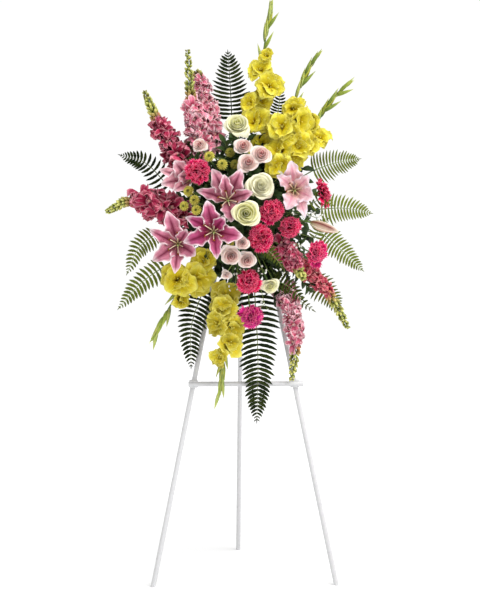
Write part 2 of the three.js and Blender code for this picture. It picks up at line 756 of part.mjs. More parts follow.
function placeGladioli() {
  GLADIOLI.forEach((spike, i) => {
    const points = spikeCurve(spike);
    const stalk = plantedStem(points, 4, 1.8, 7, 4);
    const curve = new THREE.CatmullRomCurve3(points.slice(1), false, 'centripetal');
    const nearest = (target) => {
      const tries = Array.from({ length: 46 }, (_, k) => curve.getPoint(k / 45));
      return tries.reduce((best, one) => (one.distanceTo(target) < best.distanceTo(target) ? one : best));
    };
    const florets = spike.florets.map(([x, z, width], k) => {
      const centre = seen([x, z], spike.depth - 26 - (k % 3) * 13);
      const root = nearest(centre.clone().add(vec(0, 20, 0)));
      const axis = centre.clone().sub(root).normalize().add(vec(0, -1.1, 0.1)).normalize();
      return gladiolusFloret(root.addScaledVector(axis, -4), centre, axis, width, k);
    });
    const buds = spike.buds.map(([x, z]) => {
      const tip = seen([x, z], spike.depth - 6);
      const root = nearest(tip.clone().lerp(points[1], 0.07));
      const axis = tip.clone().sub(root).normalize();
      return spindle(root.addScaledVector(axis, -5), tip, 6.5, 3);
    });
    place(`gladiolus_${i + 1}`, joinClear(stalk, [...florets, ...buds]), 'gladiolus', 0.55);
  });
}

function placeSnapdragons() {
  SNAPDRAGONS.forEach((spike, i) => {
    const points = spikeCurve(spike);
    const curve = new THREE.CatmullRomCurve3(points.slice(1), false, 'centripetal');
    const from = 1 / (points.length - 2);
    const stalk = plantedStem([...points.slice(0, 3), curve.getPoint(from + 0.04)], 3, 3, 3);
    place(`snapdragon_${i + 1}`, join([stalk, snapdragonSpike(curve, from, spike)]), SNAPDRAGON_COLOURS[i]);
  });
}

function placeFerns() {
  FERNS.forEach(({ way, depth, width, pairs, nudge }, i) => {
    const points = spikeCurve({ way, depth, nudge });
    const outside = points.slice(2);
    const curve = new THREE.CatmullRomCurve3(outside, false, 'centripetal');
    const plate = frondPlate(curve, 0.06, width, pairs, TOWARDS_VIEWER);
    const rib = plantedStem([points[0], points[1], curve.getPoint(0), curve.getPoint(0.085)], 2, 1.2, 3);
    place(`fern_${i + 1}`, join([rib, plate]), 'fern', 0.7);
  });
}

function placeLilyBud() {
  const root = seen([198, 1096], -205);
  const tip = seen([281, 1069], -235);
  const axis = tip.clone().sub(root).normalize();
  const along = (share) => root.clone().lerp(tip, share);
  const bud = skin([
    [root],
    ring(along(0.2), axis, 6, () => 8.5),
    ring(along(0.6), axis, 6, (i) => (i % 2 ? 13 : 11)),
    ring(along(0.88), axis, 6, () => 6),
    [tip],
  ]);
  const foot = stemFoot([198, 1096], FRONT_FEET_Y);
  const way = [foot, outOfFoam(foot, root), root.clone().addScaledVector(axis, -12),
    root.clone().addScaledVector(axis, 8)];
  place('lily_bud', join([bud, plantedStem(way, 2.6, 2.6, 4)]), 'lily', 0.5);
}

function placeLeafyStems() {
  LEAFY_STEMS.forEach((spike, i) => {
    const points = spikeCurve(spike);
    const curve = new THREE.CatmullRomCurve3(points, false, 'centripetal');
    const stalk = plantedStem(points, 2.2, 1.4, 5);
    const leaves = Array.from({ length: 3 }, (_, k) => {
      const root = curve.getPoint(0.42 + k * 0.17);
      const { side, up } = across(curve.getTangent(0.42 + k * 0.17));
      const out = side.multiplyScalar(Math.cos(k * 2.4)).addScaledVector(up, Math.sin(k * 2.4));
      const tip = root.clone().addScaledVector(out, 44).addScaledVector(curve.getTangent(0.5), 20);
      return leafBlade(root, tip, 22, TOWARDS_VIEWER);
    });
    place(`leafy_stem_${i + 1}`, joinClear(stalk, leaves), 'leaf', 0.6);
  });
}

function placeWhiteFiller() {
  const points = spikeCurve(WHITE_FILLER);
  const curve = new THREE.CatmullRomCurve3(points, false, 'centripetal');
  const stalk = plantedStem(points, 1.8, 1.2, 5);
  const sprigs = Array.from({ length: 6 }, (_, k) => {
    const root = curve.getPoint(0.5 + k * 0.08);
    const { side, up } = across(curve.getTangent(0.5 + k * 0.08));
    const out = side.multiplyScalar(Math.cos(k * 2.4)).addScaledVector(up, Math.sin(k * 2.4));
    const centre = root.clone().addScaledVector(out, 20 + (k % 3) * 8);
    const head = skin([
      [centre.clone().addScaledVector(out, -3)],
      ring(centre, out, 6, (corner) => (corner % 2 ? 3 : 6)),
      [centre.clone().addScaledVector(out, 2)],
    ]);
    return join([head, stem([root, root.clone().lerp(centre, 0.5), centre], 0.8, 0.8, 1, 3)]);
  });
  place('white_filler_stem', joinClear(stalk, sprigs), 'filler', 0.7);
}

// Easel

// A straight round bar between two points.
function bar(from, to, diameter, sides = TUBE_SIDES) {
  const length = from.distanceTo(to);
  const geometry = new THREE.CylinderGeometry(diameter / 2, diameter / 2, length, sides);
  const turn = new THREE.Quaternion().setFromUnitVectors(vec(0, 1, 0), to.clone().sub(from).normalize());
  const middle = from.clone().lerp(to, 0.5);
  geometry.applyMatrix4(new THREE.Matrix4().compose(middle, turn, vec(1, 1, 1)));
  return toSolid(geometry);
}

function block(x0, x1, y0, y1, z0, z1) {
  const geometry = new THREE.BoxGeometry(x1 - x0, y1 - y0, z1 - z0);
  geometry.translate((x0 + x1) / 2, (y0 + y1) / 2, (z0 + z1) / 2);
  return toSolid(geometry);
}

function frontLegPoint(side, z) {
  const share = 1 - z / APEX_HEIGHT;
  return vec(side * FRONT_FOOT_X * share, FRONT_FOOT_Y * share, z);
}

const BELOW_FLOOR = block(-600, 600, -600, 600, -80, 0);

function frontLeg(side, extra = 0) {
  const leg = bar(frontLegPoint(side, -20), frontLegPoint(side, LEG_TOP + extra), TUBE_DIAMETER + extra * 2);
  return leg.subtract(BELOW_FLOOR);
}

function backLeg() {
  const pivot = vec(0, PIVOT_Y, PIVOT_Z);
  const foot = vec(0, BACK_FOOT_Y, 0);
  const along = foot.clone().sub(pivot).normalize();
  const top = pivot.clone().addScaledVector(along, -10);
  const low = foot.clone().addScaledVector(along, 20);
  const leg = bar(top, low, TUBE_DIAMETER).subtract(BELOW_FLOOR);
  return leg.subtract(pinHole());
}

// A bar across the front legs with a clip round each leg.
function crossMember(height, left, right, diameter) {
  const leg = frontLegPoint(1, height);
  const y = leg.y - TUBE_DIAMETER / 2 - diameter / 2 - 2 * GAP;
  const rod = bar(vec(left, y, height), vec(right, y, height), diameter);
  const clips = [-1, 1].map((side) => {
    const x = side * leg.x;
    return block(x - CLIP.width / 2, x + CLIP.width / 2, y - 2, leg.y + CLIP.behind,
      height - CLIP.height / 2, height + CLIP.height / 2);
  });
  return join([rod, ...clips]).subtract(frontLeg(-1, GAP)).subtract(frontLeg(1, GAP));
}

function pinHole() {
  const half = HEAD.width;
  return bar(vec(-half, PIVOT_Y, PIVOT_Z), vec(half, PIVOT_Y, PIVOT_Z), PIN_DIAMETER + 2 * GAP, PIN_SIDES);
}

function easelHead() {
  const body = block(-HEAD.width / 2, HEAD.width / 2, HEAD.front, HEAD.back, HEAD.bottom, HEAD.top);
  const lugs = [-1, 1].map((side) => {
    const inner = side * (TUBE_DIAMETER / 2 + LUG.play);
    const outer = inner + side * LUG.thickness;
    return block(Math.min(inner, outer), Math.max(inner, outer), HEAD.back - 2, PIVOT_Y + LUG.reach,
      PIVOT_Z - LUG.height / 2, PIVOT_Z + LUG.height / 2);
  });
  return join([body, ...lugs]).subtract(frontLeg(-1, GAP)).subtract(frontLeg(1, GAP)).subtract(pinHole());
}

function hingePin() {
  const half = TUBE_DIAMETER / 2 + LUG.play + LUG.thickness + GAP;
  const at = (x) => vec(x, PIVOT_Y, PIVOT_Z);
  const shank = bar(at(-half - 1), at(half + 1), PIN_DIAMETER, PIN_SIDES);
  const caps = [-1, 1].map((side) => (
    bar(at(side * half), at(side * (half + PIN_CAP.height)), PIN_CAP.diameter, PIN_SIDES)));
  return join([shank, ...caps]);
}

// The tray: a plate with a rim round the foam, two hooks over the upper rung,
// and a strip that bears on the legs.
function foamTray() {
  const halfWidth = FOAM.width / 2 + GAP + TRAY_WALL;
  const bottom = FOAM.middle - FOAM.height / 2 - GAP - TRAY_WALL;
  const top = FOAM.middle + FOAM.height / 2 + GAP + TRAY_WALL;
  const plateFront = FOAM.back + GAP;
  const plateBack = plateFront + TRAY_PLATE;
  const outer = block(-halfWidth, halfWidth, plateFront - TRAY_RIM, plateBack, bottom, top);
  const inner = block(-halfWidth + TRAY_WALL, halfWidth - TRAY_WALL, plateFront - TRAY_RIM - 5, plateFront,
    bottom + TRAY_WALL, top - TRAY_WALL);
  const { halfLength } = BEARING;
  const bearing = block(-halfLength, halfLength, plateFront, plateBack, BEARING.bottom, BEARING.top);
  const rungRadius = RUNG_DIAMETER / 2;
  const rungY = frontLegPoint(1, RUNG_HEIGHT).y - TUBE_DIAMETER / 2 - rungRadius - 2 * GAP;
  const hookBack = rungY + rungRadius + TRAY_WALL + GAP;
  const hooks = [-TRAY_HOOK_X, TRAY_HOOK_X].map((x) => {
    const over = RUNG_HEIGHT + rungRadius + GAP;
    const arm = block(x - 6, x + 6, plateBack - 1, hookBack, over, over + TRAY_WALL + 1);
    const lip = block(x - 6, x + 6, rungY + rungRadius + GAP, hookBack, RUNG_HEIGHT - rungRadius, over + 1);
    return arm.add(lip);
  });
  return join([outer.subtract(inner), bearing, ...hooks]);
}

function foamBlock() {
  const whole = block(-FOAM.width / 2, FOAM.width / 2, FOAM.back - FOAM.depth, FOAM.back,
    FOAM.middle - FOAM.height / 2, FOAM.middle + FOAM.height / 2);
  return holes.reduce((foam, hole) => foam.subtract(hole), whole);
}

function placeEasel() {
  place('easel_left_leg', frontLeg(-1), 'white', 0.35);
  place('easel_right_leg', frontLeg(1), 'white', 0.35);
  place('easel_back_leg', backLeg(), 'white', 0.35);
  const crossbar = crossMember(CROSSBAR_HEIGHT, CROSSBAR_LEFT, CROSSBAR_RIGHT, TUBE_DIAMETER);
  const rung = crossMember(RUNG_HEIGHT, -RUNG_HALF_LENGTH, RUNG_HALF_LENGTH, RUNG_DIAMETER);
  place('easel_crossbar', crossbar, 'white', 0.35);
  place('easel_upper_rung', rung, 'white', 0.35);
  place('easel_head', easelHead(), 'white', 0.35);
  place('hinge_pin', hingePin(), 'steel', 0.3);
  place('foam_tray', foamTray(), 'tray', 0.6);
}

placeEasel();
placeLilies();
placeHeads('rose', ROSES, roseHead, 'rose', 0.34);
placeHeads('carnation', CARNATIONS, carnationHead, 'carnation', 0.58);
placeHeads('spray_rose', SPRAY_ROSES, sprayRoseHead, 'blush', 0.42);
placeHeads('button_mum', MUMS, mumHead, 'mum', 0.24);
placeLilyBud();
placeGladioli();
placeSnapdragons();
placeFerns();
placeLeafyStems();
placeWhiteFiller();
place('foam_block', foamBlock(), 'foam', 0.9);

// The origin is the middle of the whole object's box, on the floor.
const bounds = new THREE.Box3();
for (const { box } of placed) {
  bounds.expandByPoint(vec(...box.min));
  bounds.expandByPoint(vec(...box.max));
}

const group = new THREE.Group();
group.position.set(-(bounds.min.x + bounds.max.x) / 2, -(bounds.min.y + bounds.max.y) / 2, -bounds.min.z);
for (const { name, solid, colour, roughness } of placed) {
  const material = new THREE.MeshStandardMaterial({ color: COLOURS[colour], roughness, metalness: 0 });
  const mesh = new THREE.Mesh(toGeometry(solid), material);
  mesh.name = name;
  group.add(mesh);
}

export default group;
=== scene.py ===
from math import log, pi, radians, sqrt

import bpy
import numpy as np
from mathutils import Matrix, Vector
from numpy import cos, cross, maximum, minimum, sin
from numpy.linalg import norm


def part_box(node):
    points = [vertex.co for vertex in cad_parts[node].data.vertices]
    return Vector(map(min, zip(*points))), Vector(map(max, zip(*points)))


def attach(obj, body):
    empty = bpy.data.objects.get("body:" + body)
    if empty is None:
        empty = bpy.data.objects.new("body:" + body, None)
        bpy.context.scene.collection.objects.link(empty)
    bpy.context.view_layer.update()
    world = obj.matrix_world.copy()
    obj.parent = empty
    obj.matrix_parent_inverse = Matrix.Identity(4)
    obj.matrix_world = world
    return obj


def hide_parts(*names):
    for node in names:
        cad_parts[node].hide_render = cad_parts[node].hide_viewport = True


# Standing funeral spray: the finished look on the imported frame.
# Flowers and foliage are laid out in millimetres in the easel's own frame, whose middle is x = 0 and whose
# floor is z = 0. Piece.make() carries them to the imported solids, in metres.

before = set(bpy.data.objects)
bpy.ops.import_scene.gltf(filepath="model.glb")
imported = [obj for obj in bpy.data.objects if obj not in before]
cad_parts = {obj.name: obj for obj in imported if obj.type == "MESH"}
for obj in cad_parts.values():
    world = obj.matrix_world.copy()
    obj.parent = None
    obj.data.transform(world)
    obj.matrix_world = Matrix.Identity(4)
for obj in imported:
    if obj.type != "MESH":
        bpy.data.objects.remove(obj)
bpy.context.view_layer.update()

MM = 0.001
PIN_MIDDLE = np.array([0.0, 36.0, 1325.0])
pin_low, pin_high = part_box("hinge_pin")
SHIFT = (np.array(pin_low) + np.array(pin_high)) / 2 / MM - PIN_MIDDLE
FRONT = "front_frame"
BACK = "back_leg"

EYE = np.array([-176.0, -4150.0, 965.0])
LOOK_AT = np.array([-15.0, -150.0, 864.0])
VIEW_PLANE_Y = -150.0
LENS = 80
FORWARD = np.array([0.0, -1.0, 0.0])
GOLDEN_TURN = radians(137.5)

# chance() is a random number from 0 to 1, and stray() one about 0.
rng = np.random.default_rng(7)
chance = rng.random
stray = rng.normal


# Vectors and curves

def vec(x, y, z):
    return np.array([x, y, z], float)


def unit(v):
    return v / maximum(norm(v, axis=-1, keepdims=True), 1e-9)


def mix(a, b, share):
    return a + (b - a) * share


def paced(count):
    """The numbers of a row, each with its share of the way from 0 to 1."""
    return [(k, k / (count - 1)) for k in range(count)]


def to_world(point):
    return Vector((point + SHIFT) * MM)


def seen(at, depth):
    """A point of the upright plane through the front feet, carried along the line of sight to a depth."""
    on_plane = vec(at[0], VIEW_PLANE_Y, at[1])
    return EYE + (on_plane - EYE) * (depth - EYE[1]) / (VIEW_PLANE_Y - EYE[1])


def across(axis):
    """Two directions across an axis, the first as level as it can be."""
    level = vec(0, 1, 0) if abs(axis[2]) > 0.95 else vec(0, 0, 1)
    side = unit(cross(level, axis))
    return side, unit(cross(axis, side))


def turned(axis, angle):
    """A direction across an axis at an angle, or a grid of them for a grid of angles."""
    side, up = across(axis)
    return side * cos(angle) + up * sin(angle)


class Curve:
    """A smooth curve through points, with the bends shared by their distances."""

    def __init__(self, points):
        p = np.array(points, float)
        self.points = np.vstack([2 * p[0] - p[1], p, 2 * p[-1] - p[-2]])
        self.spans = len(p) - 1
        self.knots = maximum(norm(np.diff(self.points, axis=0), axis=1) ** 0.5, 1e-3)

    def at(self, t):
        t = np.clip(np.atleast_1d(t), 0, 1) * self.spans
        i = minimum(t.astype(int), self.spans - 1)
        w = (t - i)[:, None]
        p0, p1, p2, p3 = (self.points[i + k] for k in range(4))
        d0, d1, d2 = (self.knots[i + k][:, None] for k in range(3))
        m1 = ((p1 - p0) / d0 - (p2 - p0) / (d0 + d1) + (p2 - p1) / d1) * d1
        m2 = ((p2 - p1) / d1 - (p3 - p1) / (d1 + d2) + (p3 - p2) / d2) * d1
        return ((2 * w**3 - 3 * w**2 + 1) * p1 + (w**3 - 2 * w**2 + w) * m1
                + (3 * w**2 - 2 * w**3) * p2 + (w**3 - w**2) * m2)

    def line(self, count):
        return self.at(np.linspace(0, 1, count))

    def point(self, t):
        return self.at(t)[0]

    def step(self, t):
        """A point and the direction there."""
        return self.point(t), unit(self.point(min(t + 0.004, 1)) - self.point(max(t - 0.004, 0)))


# Mesh building

def sheet(rows, columns):
    """Grids of u from 0 to 1 down the rows and of v from -1 to 1 across the columns."""
    return np.linspace(0, 1, rows)[:, None, None], np.linspace(-1, 1, columns)[None, :, None]


def marks_of(grid, tone):
    return np.concatenate(np.broadcast_arrays(*sheet(*grid.shape[:2]), tone), axis=-1)


class Piece:
    """One visible object: blades, lofts and tubes with a material each.

    Each point carries marks: x along the form from 0 to 1, y across it from -1 to 1, and z its own tone."""

    def __init__(self, name):
        self.name = name
        self.points = []
        self.marks = []
        self.count = 0
        self.faces = []
        self.looks = []
        self.smooth = []
        self.materials = []

    def add(self, faces, material, smooth=True):
        if material not in self.materials:
            self.materials.append(material)
        self.faces += faces
        self.looks += [self.materials.index(material)] * len(faces)
        self.smooth += [smooth] * len(faces)

    def patch(self, grid, marks, material, closed=False, smooth=True):
        """A grid of faces. A closed one joins its last column to its first."""
        rows, columns = grid.shape[:2]
        numbers = self.count + np.arange(rows * columns).reshape(rows, columns)
        if closed:
            numbers = np.column_stack([numbers, numbers[:, 0]])
        corners = numbers[:-1, :-1], numbers[1:, :-1], numbers[1:, 1:], numbers[:-1, 1:]
        self.add(np.stack(corners, -1).reshape(-1, 4).tolist(), material, smooth)
        self.points.append(grid.reshape(-1, 3))
        self.marks.append(marks.reshape(-1, 3))
        self.count += rows * columns
        return numbers

    def blade(self, grid, material, thickness, tone):
        """A thin closed sheet over a grid of points."""
        normal = unit(cross(np.gradient(grid, axis=0), np.gradient(grid, axis=1)))
        top = grid + normal * thickness / 2
        bottom = grid - normal * thickness / 2
        marks = marks_of(grid, tone)
        self.patch(top, marks, material)
        self.patch(bottom[:, ::-1], marks[:, ::-1], material)

        def rim(face):
            return np.concatenate([face[:-1, 0], face[-1, :-1], face[:0:-1, -1], face[0, :0:-1]])
        wall = np.stack([rim(top), rim(bottom)])
        self.patch(wall, np.stack([rim(marks)] * 2), material, closed=True, smooth=False)

    def loft(self, rings, material, tone=0.0):
        """A closed body through rings of points."""
        grid = np.array(rings)[:, ::-1]
        numbers = self.patch(grid, marks_of(grid, tone), material, closed=True)
        self.add([numbers[0, :-1].tolist(), numbers[-1, -2::-1].tolist()], material)

    def tube(self, path, radii, material, sides, tone):
        """A round bar along a path. Two radii taper it, and more than two are one for each point."""
        path = np.array(path, float)
        if len(radii) == 2:
            radii = np.linspace(*radii, len(path))
        ways = unit(np.gradient(path, axis=0))
        self.loft([circle(p, w, r, sides) for p, w, r in zip(path, ways, radii)], material, tone)

    def make(self, body, slot, *nodes):
        mesh = bpy.data.meshes.new(self.name)
        points = (np.concatenate(self.points) + SHIFT) * MM
        mesh.from_pydata(points.tolist(), [], self.faces)
        for material in self.materials:
            mesh.materials.append(material)
        mesh.polygons.foreach_set("material_index", self.looks)
        mesh.polygons.foreach_set("use_smooth", self.smooth)
        marks = mesh.attributes.new("marks", "FLOAT_VECTOR", "POINT")
        marks.data.foreach_set("vector", np.concatenate(self.marks).astype(np.float32).ravel())
        mesh.update()
        piece = bpy.data.objects.new(self.name, mesh)
        bpy.context.scene.collection.objects.link(piece)
        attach(piece, body)
        if nodes:
            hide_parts(*nodes)


def make_all(name, form, table, draw, *settings):
    """A piece for each row of a table, in place of its solid. What draws it returns a slot name, which
    make() does not use.
    """
    for number, row in enumerate(table, 1):
        node = f"{name}_{number}"
        piece = Piece(f"{node}_{form}")
        slot = draw(piece, node, row, *settings)
        piece.make(FRONT, slot, node)


def circle(centre, axis, radius, sides):
    return centre + radius * turned(axis, np.arange(sides)[:, None] * 2 * pi / sides)


def egg(piece, start, end, radius, material, sides=8, rows=6, tone=0.0, fullest=0.5):
    """A closed egg or bud shape between two points."""
    axis = unit(end - start)
    shares = np.linspace(0.02, 0.98, rows)
    radii = radius * sin(pi * shares ** (log(0.5) / log(fullest)))
    piece.loft([circle(mix(start, end, s), axis, r, sides) for s, r in zip(shares, radii)], material, tone)


# Materials

class Nodes:
    """A tree of shader nodes, fed with constants and with each other's outputs."""

    def __init__(self, owner):
        owner.use_nodes = True
        self.tree = owner.node_tree

    def feed(self, node, values):
        for socket, value in dict(values).items():
            if hasattr(value, "is_output"):
                self.tree.links.new(value, node.inputs[socket])
            else:
                node.inputs[socket].default_value = value

    def add(self, kind, values=(), output=0, **settings):
        node = self.tree.nodes.new("ShaderNode" + kind)
        for key, value in settings.items():
            setattr(node, key, value)
        self.feed(node, values)
        return node.outputs[output]

    def math(self, operation, *values):
        return self.add("Math", enumerate(values), operation=operation)

    def spread(self, *values):
        """A value carried over: the value, its low and high ends, and the ends that they become."""
        return self.add("MapRange", enumerate(values), clamp=True)

    def parts(self, vector):
        return self.add("SeparateXYZ", {0: vector}).node.outputs

    def ramp(self, source, stops):
        colour = self.add("ValToRGB", {0: source})
        elements = colour.node.color_ramp.elements
        while len(elements) < len(stops):
            elements.new(0.5)
        for element, (place, shade) in zip(elements, stops.items()):
            element.position = place
            element.color = (*shade, 1)
        return colour

    def blend(self, factor, colour, other):
        return self.add("Mix", {0: factor, 6: colour, 7: (*other, 1)}, 2, data_type="RGBA")

    def noise(self, scale, detail=3, vector=None):
        if vector is None:
            vector = self.add("TexCoord", output="Object")
        return self.add("TexNoise", {"Scale": scale, "Detail": detail, "Vector": vector}, "Fac")

    def finish(self, values):
        self.feed(self.tree.nodes["Principled BSDF"], values)


RIM_FALL = 1.7
SPOT_SCALE = 190
MOTTLE_SCALE = 75
VEIN_DEPTH = 0.0012


def living(name, along, rib=None, rim=None, outer=None, spots=None, vary=0.14, veins=9, relief=0.5,
           rough=(0.42, 0.62), glow=0.08, gloss=0.2):
    """Petal or leaf: colours along its length, an outer one at tone 1, a margin, a midrib, spots and veins.

    rib, rim and spots are each a colour, a width and a strength."""
    material = bpy.data.materials.new(name)
    net = Nodes(material)
    along_form, side, tone = net.parts(net.add("Attribute", output="Vector", attribute_name="marks"))
    away = net.math("ABSOLUTE", side)
    colour = net.ramp(along_form, along)
    if outer:
        colour = net.blend(net.spread(tone, 0, 1, 0, 1), colour, outer)
    if rim:
        rim_colour, width, strength = rim
        at_side = net.math("POWER", net.spread(away, 1 - width, 1, 0, strength), RIM_FALL)
        at_tip = net.spread(along_form, 1 - width * 0.5, 1, 0, strength)
        colour = net.blend(net.math("MAXIMUM", at_side, at_tip), colour, rim_colour)
    if rib:
        rib_colour, width, strength = rib
        near = net.spread(away, 0, width, strength, 0)
        fade = net.spread(along_form, 0.72, 1, 1, 0.15)
        colour = net.blend(net.math("MULTIPLY", near, fade), colour, rib_colour)
    if spots:
        spot_colour, reach, strength = spots
        place = net.add("TexCoord", output="Object")
        cells = net.add("TexVoronoi", {"Scale": SPOT_SCALE, "Vector": place}, "Distance")
        dots = net.spread(cells, 0.16, 0.26, strength, 0)
        above_root = net.spread(along_form, 0.1, 0.2, 0, 1)
        inside = net.math("MULTIPLY", net.spread(along_form, reach, reach + 0.15, 1, 0), above_root)
        colour = net.blend(net.math("MULTIPLY", dots, inside), colour, spot_colour)
    stretches = zip((along_form, side, tone), (1.6, veins, 31))
    lines = net.add("CombineXYZ", enumerate([net.math("MULTIPLY", *pair) for pair in stretches]))
    vein_height = net.noise(1.6, 4, lines)
    mottle = net.noise(MOTTLE_SCALE)
    tone_step = net.spread(net.math("FRACT", net.math("MULTIPLY", tone, 7.31)), 0, 1, -vary, vary)
    value = net.math("ADD", net.spread(mottle, 0.25, 0.75, 1 - vary, 1 + vary * 0.6), tone_step)
    value = net.math("ADD", value, net.spread(vein_height, 0.3, 0.7, -vary, vary))
    net.finish({
        "Base Color": net.add("HueSaturation", {"Color": colour, "Value": value}),
        "Normal": net.add("Bump", {"Height": vein_height, "Strength": relief, "Distance": VEIN_DEPTH}),
        "Roughness": net.spread(mottle, 0.3, 0.7, *rough),
        "Specular IOR Level": gloss,
        "Subsurface Weight": glow,
        "Subsurface Radius": (0.9, 0.7, 0.5),
        "Subsurface Scale": 0.004,
    })
    return material


def made(name, colour, rough, grain, relief, vary=0.05, metallic=0.0, distance=0.0004, coat=0.0, light=0.0):
    """Paint, plastic, metal or foam, with its own grain."""
    material = bpy.data.materials.new(name)
    net = Nodes(material)
    mottle = net.noise(grain * 0.25)
    darker = [c * (1 - vary * 2) for c in colour]
    net.finish({
        "Base Color": net.ramp(mottle, {0.3: darker, 0.62: colour}),
        "Roughness": net.spread(mottle, 0.3, 0.7, rough * 0.85, rough * 1.2),
        "Normal": net.add("Bump", {"Height": net.noise(grain, 4), "Strength": relief, "Distance": distance}),
        "Metallic": metallic,
        "Coat Weight": coat,
        "Emission Color": (1, 1, 1, 1),
        "Emission Strength": light,
    })
    return material


WHITE_PAINT = made("white_enamel", (0.6, 0.6, 0.61), 0.3, 420, 0.12, 0.02, coat=0.3)
PIN_STEEL = made("pin_steel", (0.62, 0.62, 0.63), 0.3, 900, 0.2, 0.06, metallic=1.0)
TRAY_PLASTIC = made("tray_plastic", (0.035, 0.085, 0.045), 0.5, 300, 0.2, 0.1)
WET_FOAM = made("wet_foam", (0.06, 0.16, 0.07), 0.95, 700, 0.9, 0.2, distance=0.0012)
FLOOR = made("floor", (0.9, 0.9, 0.9), 0.8, 12, 0.02, 0.004, light=0.14)

STEM = living("stem_skin", {0: (0.07, 0.14, 0.035), 1: (0.13, 0.22, 0.06)}, veins=16, relief=0.4, glow=0.1)
PALE_STEM = living("pale_stem_skin", {0: (0.16, 0.24, 0.06), 1: (0.3, 0.4, 0.12)}, veins=14, glow=0.15)
LILY = living(
    "lily_petal", {0: (0.36, 0.44, 0.08), 0.14: (0.46, 0.18, 0.16), 0.3: (0.33, 0.02, 0.1),
                   0.7: (0.38, 0.045, 0.155), 1: (0.47, 0.12, 0.22)},
    rib=((0.13, 0.002, 0.028), 0.42, 0.92), rim=((0.98, 0.82, 0.84), 0.36, 1.0), outer=(0.84, 0.42, 0.47),
    spots=((0.14, 0.0, 0.03), 0.5, 0.9), veins=8, relief=1.0, gloss=0.08)
PALE_LILY = living(
    "pale_lily_petal", {0: (0.45, 0.45, 0.12), 0.2: (0.86, 0.6, 0.48), 0.5: (0.85, 0.48, 0.52),
                        1: (0.9, 0.6, 0.64)},
    rib=((0.66, 0.2, 0.3), 0.3, 0.7), rim=((0.96, 0.84, 0.9), 0.5, 1.0),
    spots=((0.45, 0.1, 0.16), 0.36, 0.6), veins=8, relief=1.0, gloss=0.1)
LILY_BUD = living(
    "lily_bud_skin", {0: (0.34, 0.36, 0.14), 0.3: (0.72, 0.55, 0.4), 1: (0.6, 0.36, 0.3)},
    rib=((0.14, 0.012, 0.012), 0.6, 1.0), rim=((0.93, 0.88, 0.72), 0.4, 0.9), veins=10, relief=0.6)
POLLEN = living(
    "pollen", {0: (0.16, 0.035, 0.006), 1: (0.4, 0.13, 0.015)}, vary=0.3, relief=1.0, rough=(0.8, 0.95))
FILAMENT = living("lily_filament", {0: (0.72, 0.58, 0.26), 1: (0.97, 0.82, 0.6)}, veins=6, relief=0.3)
ROSE = living(
    "cream_rose_petal", {0: (0.26, 0.28, 0.04), 0.55: (0.52, 0.53, 0.1), 0.8: (0.78, 0.76, 0.24),
                         1: (0.88, 0.86, 0.4)},
    outer=(0.93, 0.9, 0.66), rim=((0.95, 0.93, 0.72), 0.35, 0.6), veins=5, vary=0.06)
# Blush rose petal. The near-black red at the root end of the ramp is painted shade between the packed
# petals. The deep pink middle and the cream outer petals are the rose's own colours.
BLUSH_ROSE = living(
    "blush_rose_petal", {0: (0.12, 0.002, 0.006), 0.6: (0.4, 0.01, 0.03), 0.86: (0.66, 0.06, 0.09),
                         1: (0.86, 0.22, 0.22)},
    outer=(1.0, 0.87, 0.78), rim=((1.0, 0.88, 0.8), 0.3, 0.75), veins=5, vary=0.05, glow=0.26)
# Carnation petal. The near-black root end of the ramp is painted shade in the crevices between the ruffled
# petals. The pale pink rim is a painted highlight on the petal edges. The red and the magenta are the
# flower's own.
CARNATION = living(
    "carnation_petal", {0: (0.03, 0.0, 0.004), 0.6: (0.24, 0.0, 0.018), 0.84: (0.6, 0.001, 0.042),
                        1: (0.94, 0.028, 0.13)},
    rim=((0.98, 0.28, 0.42), 0.14, 0.7), outer=(0.7, 0.03, 0.3), veins=8, relief=0.9, vary=0.24,
    rough=(0.6, 0.8), glow=0.0, gloss=0.04)
# Button mum petal. Every head takes a random share of the dark olive outer colour. On the two heads set back
# in the first cluster, that colour is also painted shade.
MUM = living(
    "button_mum_petal", {0: (0.16, 0.13, 0.005), 0.4: (0.6, 0.52, 0.03), 1: (0.92, 0.84, 0.2)},
    outer=(0.2, 0.18, 0.03), veins=5, vary=0.2, gloss=0.08)
MUM_EYE = living(
    "button_mum_middle", {0: (0.05, 0.07, 0.005), 1: (0.16, 0.18, 0.015)}, relief=0.9, vary=0.25)
